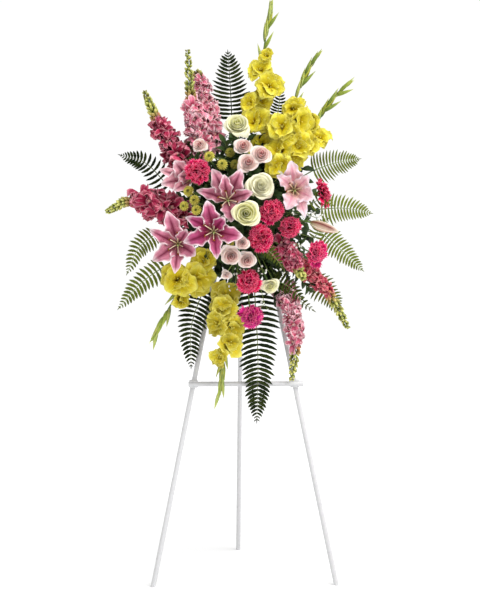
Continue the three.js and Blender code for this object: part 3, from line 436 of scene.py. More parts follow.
# Gladiolus petal. The dark brown root end is partly the flower's own brown throat and partly painted shade
# deep in the funnel.
GLADIOLUS = living(
    "gladiolus_petal", {0: (0.05, 0.01, 0.0), 0.2: (0.2, 0.09, 0.002), 0.38: (0.7, 0.55, 0.012),
                        1: (0.89, 0.8, 0.07)},
    rib=((0.6, 0.42, 0.006), 0.26, 0.6), rim=((0.94, 0.88, 0.22), 0.5, 0.7), outer=(0.46, 0.38, 0.03),
    relief=1.0, gloss=0.08, glow=0.14)
GLADIOLUS_BUD = living(
    "gladiolus_bud_skin", {0: (0.09, 0.15, 0.02), 0.5: (0.23, 0.32, 0.05), 1: (0.45, 0.5, 0.12)},
    outer=(0.6, 0.55, 0.05), rim=((0.62, 0.66, 0.3), 0.5, 0.7), veins=10, relief=0.6, vary=0.18)
SNAP_PETAL = {
    colour: living(f"{colour}_snapdragon_petal", {0: root, 0.45: middle, 1: tip}, rim=rim, veins=5,
                   relief=0.8, vary=vary, gloss=gloss)
    for colour, root, middle, tip, rim, vary, gloss in (
        ("pink", (0.3, 0.02, 0.06), (0.64, 0.14, 0.23), (0.87, 0.4, 0.48),
         ((1.0, 0.74, 0.76), 0.44, 0.85), 0.26, 0.08),
        ("raspberry", (0.12, 0.003, 0.015), (0.38, 0.02, 0.07), (0.6, 0.1, 0.18),
         ((0.9, 0.44, 0.5), 0.4, 0.7), 0.28, 0.05),
        ("salmon", (0.24, 0.015, 0.02), (0.5, 0.04, 0.09), (0.76, 0.14, 0.2),
         ((0.92, 0.46, 0.42), 0.36, 0.7), 0.26, 0.08))
}
SNAP_THROAT = living("snapdragon_palate", {0: (0.6, 0.2, 0.2), 1: (0.85, 0.5, 0.4)}, relief=0.4)
# Snapdragon bud. The near-black root end is painted shade where the buds crowd the stem. The bright
# yellow-green tip is partly the buds' own colour and partly a painted highlight. The red outer colour is
# their own.
SNAP_BUD = living(
    "snapdragon_bud_skin", {0: (0.03, 0.06, 0.006), 0.45: (0.2, 0.26, 0.035), 1: (0.66, 0.69, 0.22)},
    outer=(0.42, 0.09, 0.08), vary=0.3, gloss=0.1)
FERN = living(
    "fern_leaflet", {0: (0.004, 0.009, 0.003), 1: (0.008, 0.016, 0.005)},
    rib=((0.03, 0.055, 0.015), 0.16, 0.6), outer=(0.19, 0.24, 0.03), veins=6, relief=0.9, rough=(0.5, 0.66),
    glow=0.02, gloss=0.05)
LEAF = living(
    "dark_leaf", {0: (0.006, 0.014, 0.005), 1: (0.014, 0.032, 0.009)},
    rib=((0.05, 0.09, 0.03), 0.12, 0.6), outer=(0.07, 0.13, 0.03), relief=0.8, rough=(0.38, 0.55), glow=0.02)
FILLER = living(
    "white_floret", {0: (0.5, 0.56, 0.3), 0.3: (0.84, 0.84, 0.76), 1: (0.9, 0.9, 0.86)}, veins=4, relief=0.3)


# Stems

FOAM = {"middle": np.array([0, 1120]), "half": np.array([52, 112]), "front": -137.5, "margin": 4}
FEET = {"share": (0.15, 0.26), "margin": (10, 12)}
FRONT_FEET_Y = -106
BACK_FEET_Y = -80
# Feet set a little aside of their usual places.
NUDGES = {"gladiolus_3": (4, 12), "snapdragon_2": (6, 8), "fern_12": (9, -12), "white_filler_stem": (4, 14)}
ROUND_FRONT = {"middle": (-10, 1110), "reach": (420, 520)}


def in_foam(point):
    beside = abs(point[::2] - FOAM["middle"]) < FOAM["half"] + FOAM["margin"]
    return beside.all() and point[1] > FOAM["front"] - FOAM["margin"]


def rooted(at, feet_y, target, name=""):
    """A stem's foot in the foam, as in the solids, and where its line to a target has just left the foam."""
    limit = FOAM["half"] - FEET["margin"]
    place = np.clip((at - FOAM["middle"]) * FEET["share"], -limit, limit) + FOAM["middle"]
    x, z = place + NUDGES.get(name, (0, 0))
    foot = vec(x, feet_y, z)
    share = 0.04
    while share < 0.95 and in_foam(mix(foot, target, share)):
        share += 0.02
    return [foot, mix(foot, target, share)]


def spike_points(name, depth, way):
    outside = [seen(at, depth) for at in way]
    return [*rooted(way[0], BACK_FEET_Y, outside[0], name), *outside]


def planted(piece, points, radii, material=STEM, steps=14, sides=8):
    """A stem that leaves the foam straight and then follows its curve."""
    piece.tube([points[0], *Curve(points[1:]).line(steps)], radii, material, sides, chance())


def stalk(piece, at, bloom, axis, radius):
    """A bloom's own stem, which comes up to it from behind."""
    foot, exit_point = rooted(at, FRONT_FEET_Y, bloom)
    middle = mix(foot, bloom, 0.7) - axis * norm(foot - bloom) * 0.06
    planted(piece, [foot, exit_point, middle, bloom], (radius, radius))


def facing(at, lean):
    """A bloom's axis, turned from straight forward by its place on the rounded front."""
    x, z = (np.array(at) - ROUND_FRONT["middle"]) / ROUND_FRONT["reach"] * lean
    return unit(vec(x, -1, z))


def leaf(piece, root, tip, width, up, material, tone, arch=0.2, wave=0.0, rows=7, fold=0.25, thickness=0.6,
         bend=0.0, slim=1.0, columns=5):
    """A pointed leaf from root to tip, folded along its midrib, arched, and bent sideways."""
    along = unit(tip - root)
    side = unit(cross(along, up))
    normal = cross(side, along)
    u, v = sheet(rows, columns)
    half = width / 2 * sin(pi * (0.05 + 0.94 * u) ** 0.8) ** slim * (1 + wave * sin(u * 23 + v * 2))
    arc = sin(pi * u) * norm(tip - root)
    lift = arc * arch + abs(v) * half * fold
    grid = root + (tip - root) * u + side * (half * v + arc * bend) + normal * lift
    piece.blade(grid, material, thickness, tone)


def knob(piece, centre, axis, r, back, ahead, thick, material=STEM, **shape):
    """An egg on a flower's axis, from one share of its radius to another."""
    egg(piece, centre + axis * r * back, centre + axis * r * ahead, r * thick, material, **shape)


# Lilies

PETAL = {"length": 108, "forward": 0.75, "root_back": 26, "root_out": 2, "bulge_out": 0.4,
         "bulge_forward": 22, "curl": 8, "wide": 50, "narrow": 37, "thickness": 0.9, "cup": 5, "ripple": 6.4,
         "recurve": 15}
# Place, depth, petal, lightness and ruffle, then each petal's angle in degrees and its reach.
LILIES = [
    ((-94, 1070), -318, LILY, 0.0, 1.7, (103, 89), (50, 48), (-10, 84), (276, 80), (200, 92), (154, 90)),
    ((-52, 1164), -262, LILY, 0.42, 1.7, (117, 100), (99, 72), (66, 97), (16, 76), (-82, 66), (164, 94)),
    ((-201, 1032), -258, LILY, 0.32, 1.7, (108, 100), (58, 48), (-34, 61), (264, 86), (214, 88), (153, 92)),
    ((147, 1194), -250, PALE_LILY, 0.0, 2.1, (98, 84), (45, 56), (-28, 60), (-69, 86), (247, 64), (143, 66)),
    ((-165, 1224), -172, LILY, 0.68, 1.7, (131, 70), (162, 95), (190, 86), (215, 60), (60, 26), (167, 36)),
]
BUD_ROOT = (198, 1096)
BUD_ROOT_DEPTH = -205
BUD_TIP = (281, 1069)
BUD_TIP_DEPTH = -235


def lily_petal(piece, throat, angle, reach, width, material, light, ruffle):
    axis = FORWARD
    forward = sqrt(max(PETAL["length"] ** 2 - reach ** 2, 0)) * PETAL["forward"]
    away = vec(cos(radians(angle)), 0, sin(radians(angle)))
    start = throat + away * PETAL["root_out"] - axis * PETAL["root_back"]
    bulge = throat + away * reach * PETAL["bulge_out"] + axis * (PETAL["bulge_forward"] + forward * 0.7)
    tip = throat + away * reach + axis * (forward - PETAL["curl"])
    u, v = sheet(23, 13)
    arc = sin(pi * u)
    rib = start * (1 - u) ** 2 + bulge * 2 * u * (1 - u) + tip * u ** 2
    side = unit(cross((bulge - start) * 2 * (1 - u) + (tip - bulge) * 2 * u, axis))
    phase = chance() * 6
    frill = 1 + 0.085 * ruffle * sin(u * 19 + phase + np.sign(v)) * arc
    half = width / 2 * sin(pi * (0.06 + u * 0.925)) ** np.where(u < 0.5, 1.1, 0.8) * frill
    ripple = PETAL["ripple"] * ruffle * sin(u * 17 + v * 2.2 + phase) * abs(v) ** 2
    lift = (PETAL["cup"] * abs(v) ** 1.4 + ripple) * arc
    curl = 1.4 * np.exp(-(v * 5) ** 2) * arc - PETAL["recurve"] * u ** 6
    sway = 3.5 * sin(phase) * arc * u
    grid = rib + side * (half * v + sway) + axis * (lift + curl)
    piece.blade(grid, material, PETAL["thickness"], light + 0.15 * chance())


def lily_stamens(piece, throat):
    """Six arching filaments with hung anthers, and a longer pistil."""
    axis = FORWARD
    start = chance() * 6
    for k in range(6):
        away = turned(axis, start + k * pi / 3)
        neck = throat + axis * (26 + 8 * chance()) + away * (24 + 8 * chance())
        path = Curve([throat - axis * 20 + away * 2, throat + axis * 16 + away * 7, neck]).line(8)
        piece.tube(path, (1.9, 1.2), FILAMENT, 6, 0.9)
        lean = unit(cross(axis, away) + away * 0.5) * 6.5
        egg(piece, neck - lean, neck + lean, 2.2, POLLEN, 6, 5, k / 6)
    pistil = Curve([throat - axis * 20, throat + axis * 18, throat + axis * 41 - vec(0, 0, 5)]).line(7)
    piece.tube(pistil, (1.4, 1.4, 1.3, 1.2, 1.2, 1.6, 2.8), PALE_STEM, 7, 0.4)


def lily(piece, node, row):
    at, depth, material, light, ruffle, *petals = row
    throat = seen(at, depth)
    for k, (angle, reach) in enumerate(petals):
        width, back = (PETAL["narrow"], 1.2) if k % 2 else (PETAL["wide"], 0)
        lily_petal(piece, throat - FORWARD * back, angle, reach, width, material, light, ruffle)
    lily_stamens(piece, throat)
    knob(piece, throat, FORWARD, 1, -38, -12, 8, PALE_STEM)
    stalk(piece, at, throat - FORWARD * 34, FORWARD, 3)
    return "lily_petal"


def make_lily_bud():
    """A closed bud of three petals, each wrapped over the next."""
    piece = Piece("lily_bud_closed")
    root = seen(BUD_ROOT, BUD_ROOT_DEPTH)
    tip = seen(BUD_TIP, BUD_TIP_DEPTH)
    axis = unit(tip - root)
    egg(piece, root, mix(root, tip, 0.94), 11, LILY_BUD, 16, 12, 0.2, 0.42)
    u, v = sheet(19, 13)
    swell = 13 * sin(pi * (0.08 + 0.9 * u ** 0.85)) ** 0.8 + 0.5
    out = swell * (1 + 0.07 * cos(v * pi / 2) - 0.04 * v)
    for k in range(3):
        around = k * 2 * pi / 3 + 0.5 + v * 1.12 + 0.15 * u
        piece.blade(root + (tip - root) * u + out * turned(axis, around), LILY_BUD, 1.2, 0.2 * k)
    planted(piece, [*rooted(BUD_ROOT, FRONT_FEET_Y, root), root - axis * 12, root + axis * 6], (2.6, 2.4))
    piece.make(FRONT, "lily_petal", "lily_bud")


# Roses

def head(x, z, depth, width, **more):
    return {"at": (x, z), "depth": depth, "width": width, **more}


# Rose 2's paleness of 0.75 is painted light: it whitens the rose that sits in shade under the gladiolus
# florets. Rose 3's negative paleness makes it more yellow, which is its own colour.
ROSES = [[head(-24, 1389, -190, 74)], [head(48, 1206, -285, 80, pale=0.75)],
         [head(3, 1124, -345, 75, pale=-0.3)], [head(76, 906, -215, 60, open=0.85)]]
SPRAY_ROSES = [
    [head(-6, 1324, -230, 52), head(48, 1299, -252, 56), head(9, 1274, -262, 56)],
    [head(-8, 1035, -322, 40), head(-42, 996, -285, 54), head(6, 984, -275, 50),
     head(-56, 940, -250, 36, open=0.7, pale=0.2)],
    [head(-135, 1327, -195, 42)],
]
# Petal, number of petals, points across one, how fast it pales outwards, fullness, hip and sepals.
CREAM = (ROSE, 19, 13, 1.2, 0.92, (-0.84, -0.28, 0.26), 0.36)
BLUSH = (BLUSH_ROSE, 15, 9, 0.8, 1.0, (-1.0, -0.3, 0.3), 0.4)


def rose(piece, centre, axis, one, material, petals, across_petal, fade, full, hip, sepals):
    """Cupped petals in a spiral round a tight middle, the outer ones broad, pointed and rolled back."""
    width = one["width"]
    r = width * full / 2
    u, v = sheet(across_petal, across_petal)
    for number, share in paced(petals):
        middle = number * GOLDEN_TURN + stray() * 0.12
        angle = middle + v * radians(mix(100, 56, share ** 0.7))
        w = u * (1 - 0.3 * abs(v) ** 2.2 + 0.1 * share * (1 - abs(v)) ** 3)
        rim = r * (0.07 + 0.93 * share ** 0.85 * one.get("open", 1.0)) * (1 + 0.05 * stray())
        spiral = 1 + 0.12 * v * (1 - 0.6 * share)
        out = (r * 0.04 + (rim - r * 0.04) * sin(pi / 2 * minimum(w * 1.12, 1)) ** 0.8) * spiral
        height = mix(0.66, 0.1, share ** 1.7) + 0.03 * stray()
        rise = r * (-0.5 + (height + 0.5) * w ** (1.0 + share * 0.4))
        roll = maximum(w - 0.7, 0) / 0.3
        curl = r * (mix(0.03, 0.34, share ** 1.5) * (1 + 0.25 * stray()))
        out = out + curl * 0.7 * roll ** 1.4
        rise = rise - curl * roll ** 2.3 + r * 0.03 * sin(v * 4 + number * 2.3) * w ** 3
        # A head's paleness raises the tone. On rose 2 this is painted light.
        tone = min(max(one.get("pale", 0.0) + share ** fade, 0), 0.95) + 0.05 * chance()
        piece.blade(centre + axis * rise + out * turned(axis, angle), material, 0.6, tone)
    knob(piece, centre, axis, width / 2, *hip)
    base = centre - axis * width * 0.26
    reach = width * sepals
    for k in range(5):
        away = turned(axis, k * 2 * pi / 5)
        tip = base + away * reach + axis * reach * 0.25
        leaf(piece, base + away * 2, tip, reach * 0.4, axis, STEM, 0.8, arch=-0.1, rows=5)


def stem_of_heads(piece, node, heads, draw, slot, stalk_reach, *kind):
    """A single head, or a spray of heads on a forked stem."""
    middle = np.mean([one["at"] for one in heads], axis=0)
    fork = seen(middle, heads[0]["depth"] + 55)
    for one in heads:
        axis = facing(one["at"], one.get("lean", 1.0))
        centre = seen(one["at"], one["depth"])
        back = centre - axis * one["width"] * stalk_reach
        draw(piece, centre, axis, one, *kind)
        if len(heads) > 1:
            path = Curve([fork, mix(fork, back, 0.6) - axis * 4, back + axis * 3]).line(8)
            piece.tube(path, (1.5, 1.5), PALE_STEM, 6, chance())
    end, way = (fork, FORWARD) if len(heads) > 1 else (back, axis)
    stalk(piece, middle, end, way, 2.2)
    return slot


# Carnations

CARNATIONS = [
    [head(-141, 1251, -285, 65)], [head(80, 1130, -285, 64)], [head(135, 1084, -250, 57)],
    [head(48, 1050, -305, 67)], [head(240, 1188, -170, 74, lean=9.0, flat=0.55, ruffle=0.7)],
    [head(216, 1002, -200, 62, lean=1.2, magenta=0.2)], [head(9, 920, -245, 63)],
    [head(18, 812, -190, 62, magenta=0.75)],
]
# Rows of petals: how many, their tilt in degrees, their reach in radii and their spread in degrees.
CARNATION_ROWS = [(4, 10, 0.86, 60), (6, 30, 0.92, 52), (8, 50, 1.0, 46), (9, 68, 1.08, 44),
                  (9, 88, 1.12, 42)]


def carnation(piece, centre, axis, one):
    """Ruffled fans with toothed edges in rows, over a green calyx."""
    r = one["width"] / 2 * 0.9
    root = centre - axis * r * 0.3
    u, v = sheet(7, 19)
    teeth = np.arange(19)[None, :, None] % 2
    wave = r * one.get("ruffle", 1.0)
    for count, row_tilt, row_reach, span in CARNATION_ROWS:
        short = mix(one.get("flat", 1.0), 1.0, (row_tilt - 10) / 78)
        fan = v * radians(span)
        for k in range(count):
            away = turned(axis, (k + chance() * 0.5) * 2 * pi / count + row_tilt)
            tilt = radians(row_tilt + stray() * 7)
            sideways = cross(axis, away)
            main = axis * cos(tilt) + away * sin(tilt)
            reach = r * row_reach * short * (1 + 0.12 * stray())
            length = reach * u * (1 - 0.14 * abs(v) ** 2 + 0.15 * teeth * u ** 5)
            phase = chance() * 6
            ruffle = wave * (0.24 * u ** 1.5 * sin(v * 6 + phase) + 0.12 * u ** 3 * sin(v * 14 + phase * 2))
            grid = root + main * length * cos(fan * 0.75) + sideways * length * (sin(fan) * u ** 0.35)
            piece.blade(grid + cross(sideways, main) * ruffle, CARNATION, 0.5,
                        one.get("magenta", 0.0) + 0.25 * chance())
    knob(piece, centre, axis, r, -1.22, -0.1, 0.27, sides=10, rows=8, tone=0.6, fullest=0.62)


# Button mums

# The two heads set back at (-30, 1272) and (-45, 1308) are darkened towards the dark olive outer colour.
# This is painted shade, as if they were in shadow.
MUMS = [
    [head(-108, 1296, -225, 34), head(-69, 1272, -235, 34), head(-30, 1272, -225, 31, dull=0.7),
     head(-45, 1308, -215, 31, dull=0.7)],
    [head(-171, 1191, -240, 34), head(-153, 1164, -255, 32), head(-184, 1146, -245, 30),
     head(-147, 1134, -262, 32)],
    [head(-45, 1035, -262, 26)],
]
# Rows of petals: how many, their tilt in degrees and their reach in radii.
MUM_ROWS = [(16, 88, 1.0), (15, 70, 0.98), (13, 52, 0.9), (10, 34, 0.8), (6, 16, 0.7)]


def button_mum(piece, centre, axis, one):
    r = one["width"] / 2
    root = centre - axis * r * 0.45
    for count, tilt, reach in MUM_ROWS:
        for k in range(count):
            away = turned(axis, (k + tilt) * 2 * pi / count)
            lean = radians(tilt + stray() * 4)
            main = axis * cos(lean) + away * sin(lean)
            up = axis * sin(lean) - away * cos(lean)
            # The first term is painted shade on the heads set back in the cluster; the second is a random
            # tone.
            tone = one.get("dull", 0.0) + 0.3 * chance()
            leaf(piece, root + main * r * 0.25, root + main * r * reach * 1.05, r * 0.36, up, MUM, tone,
                 arch=0.14, rows=5, fold=0.4, thickness=0.5, columns=3)
    knob(piece, root, axis, r, 0.1, 0.9, 0.3, MUM_EYE)
    knob(piece, root, axis, r, -0.5, 0.3, 0.36)


# Gladioli

# Depth, how far the florets are darkened towards an olive yellow, the way of the stem, the florets' places
# and widths, with some set farther ahead, and the tips of the side buds.
GLADIOLI = [
    (-70, 0.0, [(51, 1269), (51, 1464), (57, 1614), (72, 1704), (78, 1757)],
     [(40, 1554, 52), (64, 1600, 34), (72, 1503, 60), (46, 1461, 58), (10, 1450, 44), (30, 1398, 64),
      (75, 1384, 58), (50, 1328, 58)],
     [(102, 1725), (60, 1695), (38, 1632), (86, 1668), (78, 1761)]),
    (-112, 0.0, [(118, 1254), (138, 1404), (152, 1464), (189, 1554), (226, 1610)],
     [(146, 1440, 50), (166, 1398, 72), (106, 1384, 60), (132, 1352, 64), (162, 1330, 60),
      (102, 1318, 60), (150, 1284, 58), (108, 1264, 54, 75), (84, 1264, 40, 60)],
     [(231, 1617), (201, 1592), (212, 1551), (168, 1527), (176, 1488)]),
    (-60, 0.0, [(165, 1275), (207, 1377), (261, 1464), (322, 1524)],
     [(196, 1392, 46), (222, 1352, 52), (188, 1330, 52)],
     [(329, 1533), (327, 1497), (279, 1497), (290, 1462), (232, 1443)]),
    (-140, 0.3, [(-90, 1014), (-165, 939), (-216, 861), (-255, 789), (-279, 742)],
     [(-122, 984, 60), (-146, 933, 72), (-200, 922, 70), (-190, 868, 48)],
     [(-241, 849), (-280, 750), (-277, 711), (-236, 783)]),
    (-170, 0.75, [(-45, 909), (-57, 804), (-63, 714), (-69, 639), (-80, 572)],
     [(-60, 876, 64), (-62, 836, 58), (-86, 790, 56), (-36, 784, 56), (-44, 734, 58), (-76, 694, 40)],
     [(-52, 654), (-88, 630), (-93, 534), (-64, 567)]),
]
SIDE_BUD = {"length": 62, "radius": 6.2}
TOP_BUDS = {"count": 6, "spans": 1.6, "last": 0.91, "length": (66, 38), "radius": (6.4, 3.6)}


def gladiolus_floret(piece, root, centre, axis, width, turn, dull, grid_size=11):
    """A funnel of six pointed and ruffled lobes, three broad ones over three narrow ones."""
    r = width / 2
    u, v = sheet(grid_size, grid_size)
    throat = centre - axis * r * 0.65
    for k in range(6):
        reach, breadth, back = (1.04, 0.6, 0.1) if k % 2 else (1.18, 0.74, 0)
        away = turned(axis, turn + k * pi / 3 + stray() * 0.12)
        out = r * reach * (1 + 0.13 * stray()) * (0.08 + 0.92 * u ** 1.4)
        fall = (0.1 + 0.5 * chance()) * maximum(u - 0.55, 0) ** 1.5
        ahead = r * (0.68 * sin(pi / 2 * minimum(u * 1.25, 1)) - fall)
        half = r * breadth * sin(pi * (0.06 + 0.91 * u ** 1.15)) ** 0.85
        phase = chance() * 6
        wave = 0.25 * sin(u * 8 + phase + np.sign(v)) + 0.12 * sin(u * 17 + phase * 2 + v * 3)
        cup = r * 0.14 * v ** 2 * sin(pi * u) - r * back
        frill = 1 + 0.13 * sin(u * 15 + phase * 3 + np.sign(v))
        lift = ahead + r * wave * v ** 2 * u + cup
        grid = throat + away * out + cross(axis, away) * half * v * frill + axis * lift
        piece.blade(grid, GLADIOLUS, 0.6, dull + 0.25 * chance())
    path = Curve([root, mix(root, throat, 0.55), throat]).line(7)
    piece.tube(path, (2.4, r * 0.2), GLADIOLUS_BUD, 8, 0.8)
    for k in range(3):
        tip = throat + axis * r * 0.68 + turned(axis, turn + k * 2.1) * r * 0.16
        piece.tube([throat, mix(throat, tip, 0.6), tip], (0.8, 0.7, 1.6), GLADIOLUS, 5, 0.5)


def sheathed_bud(piece, root, tip, radius, tone, bracts=(1, -1)):
    """A slim bud between pointed bracts."""
    axis = unit(tip - root)
    egg(piece, root, mix(root, tip, 0.97), radius * 0.8, GLADIOLUS_BUD, 8, 9, tone, 0.4)
    u, v = sheet(8, 7)
    for sign in bracts:
        reach, start = (0.86, 0) if sign > 0 else (1.0, pi)
        out = (radius * sin(pi * (0.1 + 0.88 * u) ** 0.75) + 0.3) * (1 + 0.1 * sign)
        rise = norm(tip - root) * reach * u * (1 - 0.06 * v ** 2)
        grid = root + axis * rise + out * turned(axis, v * 1.35 + start)
        piece.blade(grid, GLADIOLUS_BUD, 0.5, 0.12 * chance())


def gladiolus(piece, node, row):
    """Open florets in pairs with a bud by each, side buds, and top buds by turns on the last stretch."""
    depth, dull, way, florets, buds = row
    points = spike_points(node, depth, way)
    planted(piece, points, (4, 1.6), steps=40)
    curve = Curve(points[1:])
    line = curve.line(46)
    for k, (x, z, width, *ahead) in enumerate(florets):
        centre = seen((x, z), depth - 26 - (k % 3) * 13 - sum(ahead))
        root = line[np.argmin(norm(line - centre - vec(0, 20, 0), axis=1))]
        lean = vec(stray() * 0.6, -1.1, 0.2 + stray() * 0.5)
        axis = unit(unit(centre - root) + lean)
        gladiolus_floret(piece, root - axis * 4, centre, axis, width * 1.26, k * 1.7 + 0.5, dull)
        beside = turned(axis, chance() * 6) * width * 0.24
        second = centre + beside + vec(0, width * 0.2, 0)
        axis = unit(axis + beside / width * 2)
        gladiolus_floret(piece, root, second, axis, width * 1.14, k + 0.5, dull, 8)
        sheathed_bud(piece, root, mix(root, centre, 0.75) + vec(0, 6, 0), 6, 0.3)
    for k, at in enumerate(buds):
        tip = seen(at, depth - 8)
        away = norm(line - tip, axis=1)
        root = line[np.argmin(abs(away[:max(np.argmin(away), 1)] - SIDE_BUD["length"]))]
        sheathed_bud(piece, root, tip, SIDE_BUD["radius"], 0.1 + 0.35 * (k % 2), (-1,))
    for k, share in paced(TOP_BUDS["count"]):
        root, way = curve.step(mix(1 - TOP_BUDS["spans"] / curve.spans, TOP_BUDS["last"], share))
        out = unit(cross(way, FORWARD)) * (1 if k % 2 else -1)
        length = mix(*TOP_BUDS["length"], share)
        tip = root + way * length * 0.99 + out * length * 0.12 + FORWARD * (2 + (k % 3) * 3)
        tone = 0.08 + 0.3 * (k % 2) + 0.2 * (k < 2)
        sheathed_bud(piece, root, tip, mix(*TOP_BUDS["radius"], share), tone, (1,))
    return "gladiolus_petal"


# Snapdragons

# Colour, the share of the spike in bloom, the florets' fullness, the depth and the way of the stem.
SNAPDRAGONS = [
    ("pink", 0.52, 1.2, -110, (-120, 1290), (-150, 1400), (-163, 1480), (-171, 1605)),
    ("pink", 0.92, 1.2, -70, (-93, 1300), (-104, 1380), (-114, 1450), (-144, 1545)),
    ("raspberry", 0.54, 1.2, -120, (-170, 1240), (-232, 1345), (-268, 1412), (-298, 1482)),
    ("raspberry", 0.55, 1.45, -150, (-175, 1105), (-250, 1145), (-345, 1160), (-410, 1129)),
    ("salmon", 0.54, 0.9, -150, (140, 985), (205, 935), (262, 868), (309, 783)),
    ("pink", 0.66, 1.08, -130, (110, 905), (138, 840), (152, 740), (141, 627)),
    ("raspberry", 0.62, 1.08, -195, (100, 1030), (128, 1000), (150, 972), (176, 930)),
]
SNAPDRAGON_WIDTH = 56
SNAPDRAGON_STEPS = 48
# Each lobe's turn in degrees, its reach and its breadth.
SNAPDRAGON_LOBES = [(66, 1.0, 0.5), (114, 1.0, 0.5), (-90, 0.85, 0.5), (-32, 0.78, 0.44), (212, 0.78, 0.44)]


def snapdragon_floret(piece, root, out, up, size, petal):
    """A short tube with two upright lobes, three spread lobes and a pale palate."""
    side = cross(out, up)
    mouth = root + out * size * 0.6 + up * size * 0.1
    neck = mix(root, mouth, 0.5) + up * size * 0.03
    piece.tube([root, neck, mouth], (size * 0.12, size * 0.2, size * 0.27), petal, 7, chance())
    u, v = sheet(6, 7)
    for angle, reach, breadth in SNAPDRAGON_LOBES:
        turn = radians(angle + stray() * 12)
        away = side * cos(turn) + up * sin(turn)
        length = size * reach * (1 + 0.16 * stray())
        path = away * (size * 0.12 + length * u ** 1.1) + out * size * (0.4 * sin(u * 2.6) - 0.1)
        half = length * breadth * 0.66 * sin(pi * (0.14 + 0.78 * u)) ** 0.55
        phase = chance() * 6
        ruffle = size * 0.24 * sin(v * 4.5 + u * 5 + phase) * u + size * 0.12 * v ** 2 * u
        piece.blade(mouth + path + cross(out, away) * half * v + out * ruffle, petal, 0.6, chance())
    palate = mouth + out * size * 0.1 - up * size * 0.1
    knob(piece, palate, out, size, -0.12, 0.22, 0.13, SNAP_THROAT, sides=6, rows=5)


def snapdragon(piece, node, row):
    """Florets in a spiral round the stem, and buds in threes above them."""
    colour, blooms, full, depth, *way_points = row
    points = spike_points(node, depth, way_points)
    curve = Curve(points[1:])
    planted(piece, points, (3, 1.2), PALE_STEM, steps=30)
    for k, share in paced(SNAPDRAGON_STEPS):
        here, way = curve.step(mix(1 / curve.spans, 1, share))
        away = turned(way, k * GOLDEN_TURN)
        tone = chance()
        if share < blooms:
            size = SNAPDRAGON_WIDTH / 2 * (1.08 - share * 0.42) * (0.76 + 0.36 * chance()) * full
            out = unit(away + way * (0.1 + 0.5 * chance()))
            lean = way + cross(way, out) * stray() * 0.4
            up = unit(lean - out * np.dot(lean, out))
            snapdragon_floret(piece, here, out, up, size, SNAP_PETAL[colour])
            continue
        late = (share - blooms) / (1 - blooms)
        tone = max(0.85 - late * 2.6, 0) + tone * 0.15
        for out in (away, -away, turned(way, k * GOLDEN_TURN + 1.6)):
            tip = here + (out * 0.7 + way * (0.5 + 0.4 * chance())) * mix(26, 11, late ** 2)
            egg(piece, here + out * 2, tip, mix(5.2, 3, late ** 1.5), SNAP_BUD, 7, 6, tone, 0.6)
    return f"{colour}_snapdragon"


# Ferns

# Depth, half width, pairs of leaflets, lightness and the way of the rib.
FERNS = [
    (-52, 67, 18, 0, (-39, 1401), (-44, 1500), (-51, 1602)),
    (-40, 28, 11, 0, (96, 1410), (102, 1450), (108, 1500)),
    (-80, 40, 16, 0, (-225, 1200), (-300, 1275), (-369, 1296)),
    (-90, 38, 14, 0.6, (-268, 1062), (-318, 1020), (-351, 948)),
    (-75, 40, 16, 0.6, (-237, 969), (-315, 912), (-375, 843)),
    (-100, 54, 19, 0, (-123, 900), (-160, 790), (-162, 666)),
    (-135, 72, 29, 0, (28, 908), (39, 690), (36, 501)),
    (-70, 51, 18, 0.7, (201, 1251), (270, 1275), (339, 1287)),
    (-80, 49, 17, 1.0, (225, 1137), (300, 1140), (375, 1126)),
    (-100, 42, 17, 0.8, (234, 1062), (292, 1012), (351, 957)),
    (-85, 46, 13, 0.5, (207, 927), (250, 880), (284, 840)),
    (-75, 24, 9, 0.4, (118, 890), (160, 865), (204, 834)),
]
INNER_FRONDS = [
    (-262, 22, 9, 0.3, (60, 1020), (84, 1000), (112, 962)),
    (-175, 26, 9, 0.7, (196, 1150), (232, 1168), (262, 1150)),
    (-160, 24, 9, 0.7, (210, 1050), (226, 1085), (246, 1104)),
    (-165, 36, 11, 0.15, (84, 925), (130, 905), (172, 866)),
]
FROND_START = 0.04


def frond(piece, curve, half_width, pairs, light):
    """Narrow leaflets in pairs along a thin rib, longest near the root."""
    step = norm(curve.point(1) - curve.point(FROND_START)) / pairs
    for _, share in paced(pairs):
        t = FROND_START + (0.99 - FROND_START) * (1 - (1 - share) ** 1.1)
        here, way = curve.step(t)
        side = unit(cross(way, FORWARD))
        normal = cross(side, way)
        reach = (half_width + 4) * max(1 - share, 0.03) ** 0.62 * min(0.8 + share * 1.6, 1)
        lean = 0.2 + 0.65 * share ** 1.5
        for sign in (1, -1):
            length = reach * (1 + 0.05 * stray())
            tip = here + side * sign * length + way * length * lean - normal * length * 0.12
            leaf(piece, here + side * sign * 0.6, tip, min(step * 0.82, length * 0.43), normal, FERN,
                 min(light + 0.1 * chance(), 1), arch=0.05, wave=0.08, rows=8, thickness=0.5,
                 bend=0.06 * sign, slim=0.55)
    end, way = curve.step(1.0)
    leaf(piece, curve.point(0.97), end + way * 13, 3.4, -FORWARD, FERN, light, rows=5)


def fern(piece, node, row):
    depth, half_width, pairs, light, *way = row
    points = spike_points(node, depth, way)
    curve = Curve(points[2:])
    piece.tube([*points[:2], *curve.line(24)], (1.9, 0.6), PALE_STEM if light else FERN, 7, chance())
    frond(piece, curve, half_width, pairs, light)
    return "fern_leaf"


def make_inner_fronds():
    piece = Piece("inner_fern_fronds")
    for depth, half_width, pairs, light, *way in INNER_FRONDS:
        points = [seen(at, depth) for at in way]
        curve = Curve(points)
        path = [*rooted(way[0], FRONT_FEET_Y, points[0]), *curve.line(16)]
        piece.tube(path, (1.6, 0.5), PALE_STEM, 6, 0.2)
        frond(piece, curve, half_width, pairs, light)
    piece.make(FRONT, "fern_leaf")


# Leafy and white fillers

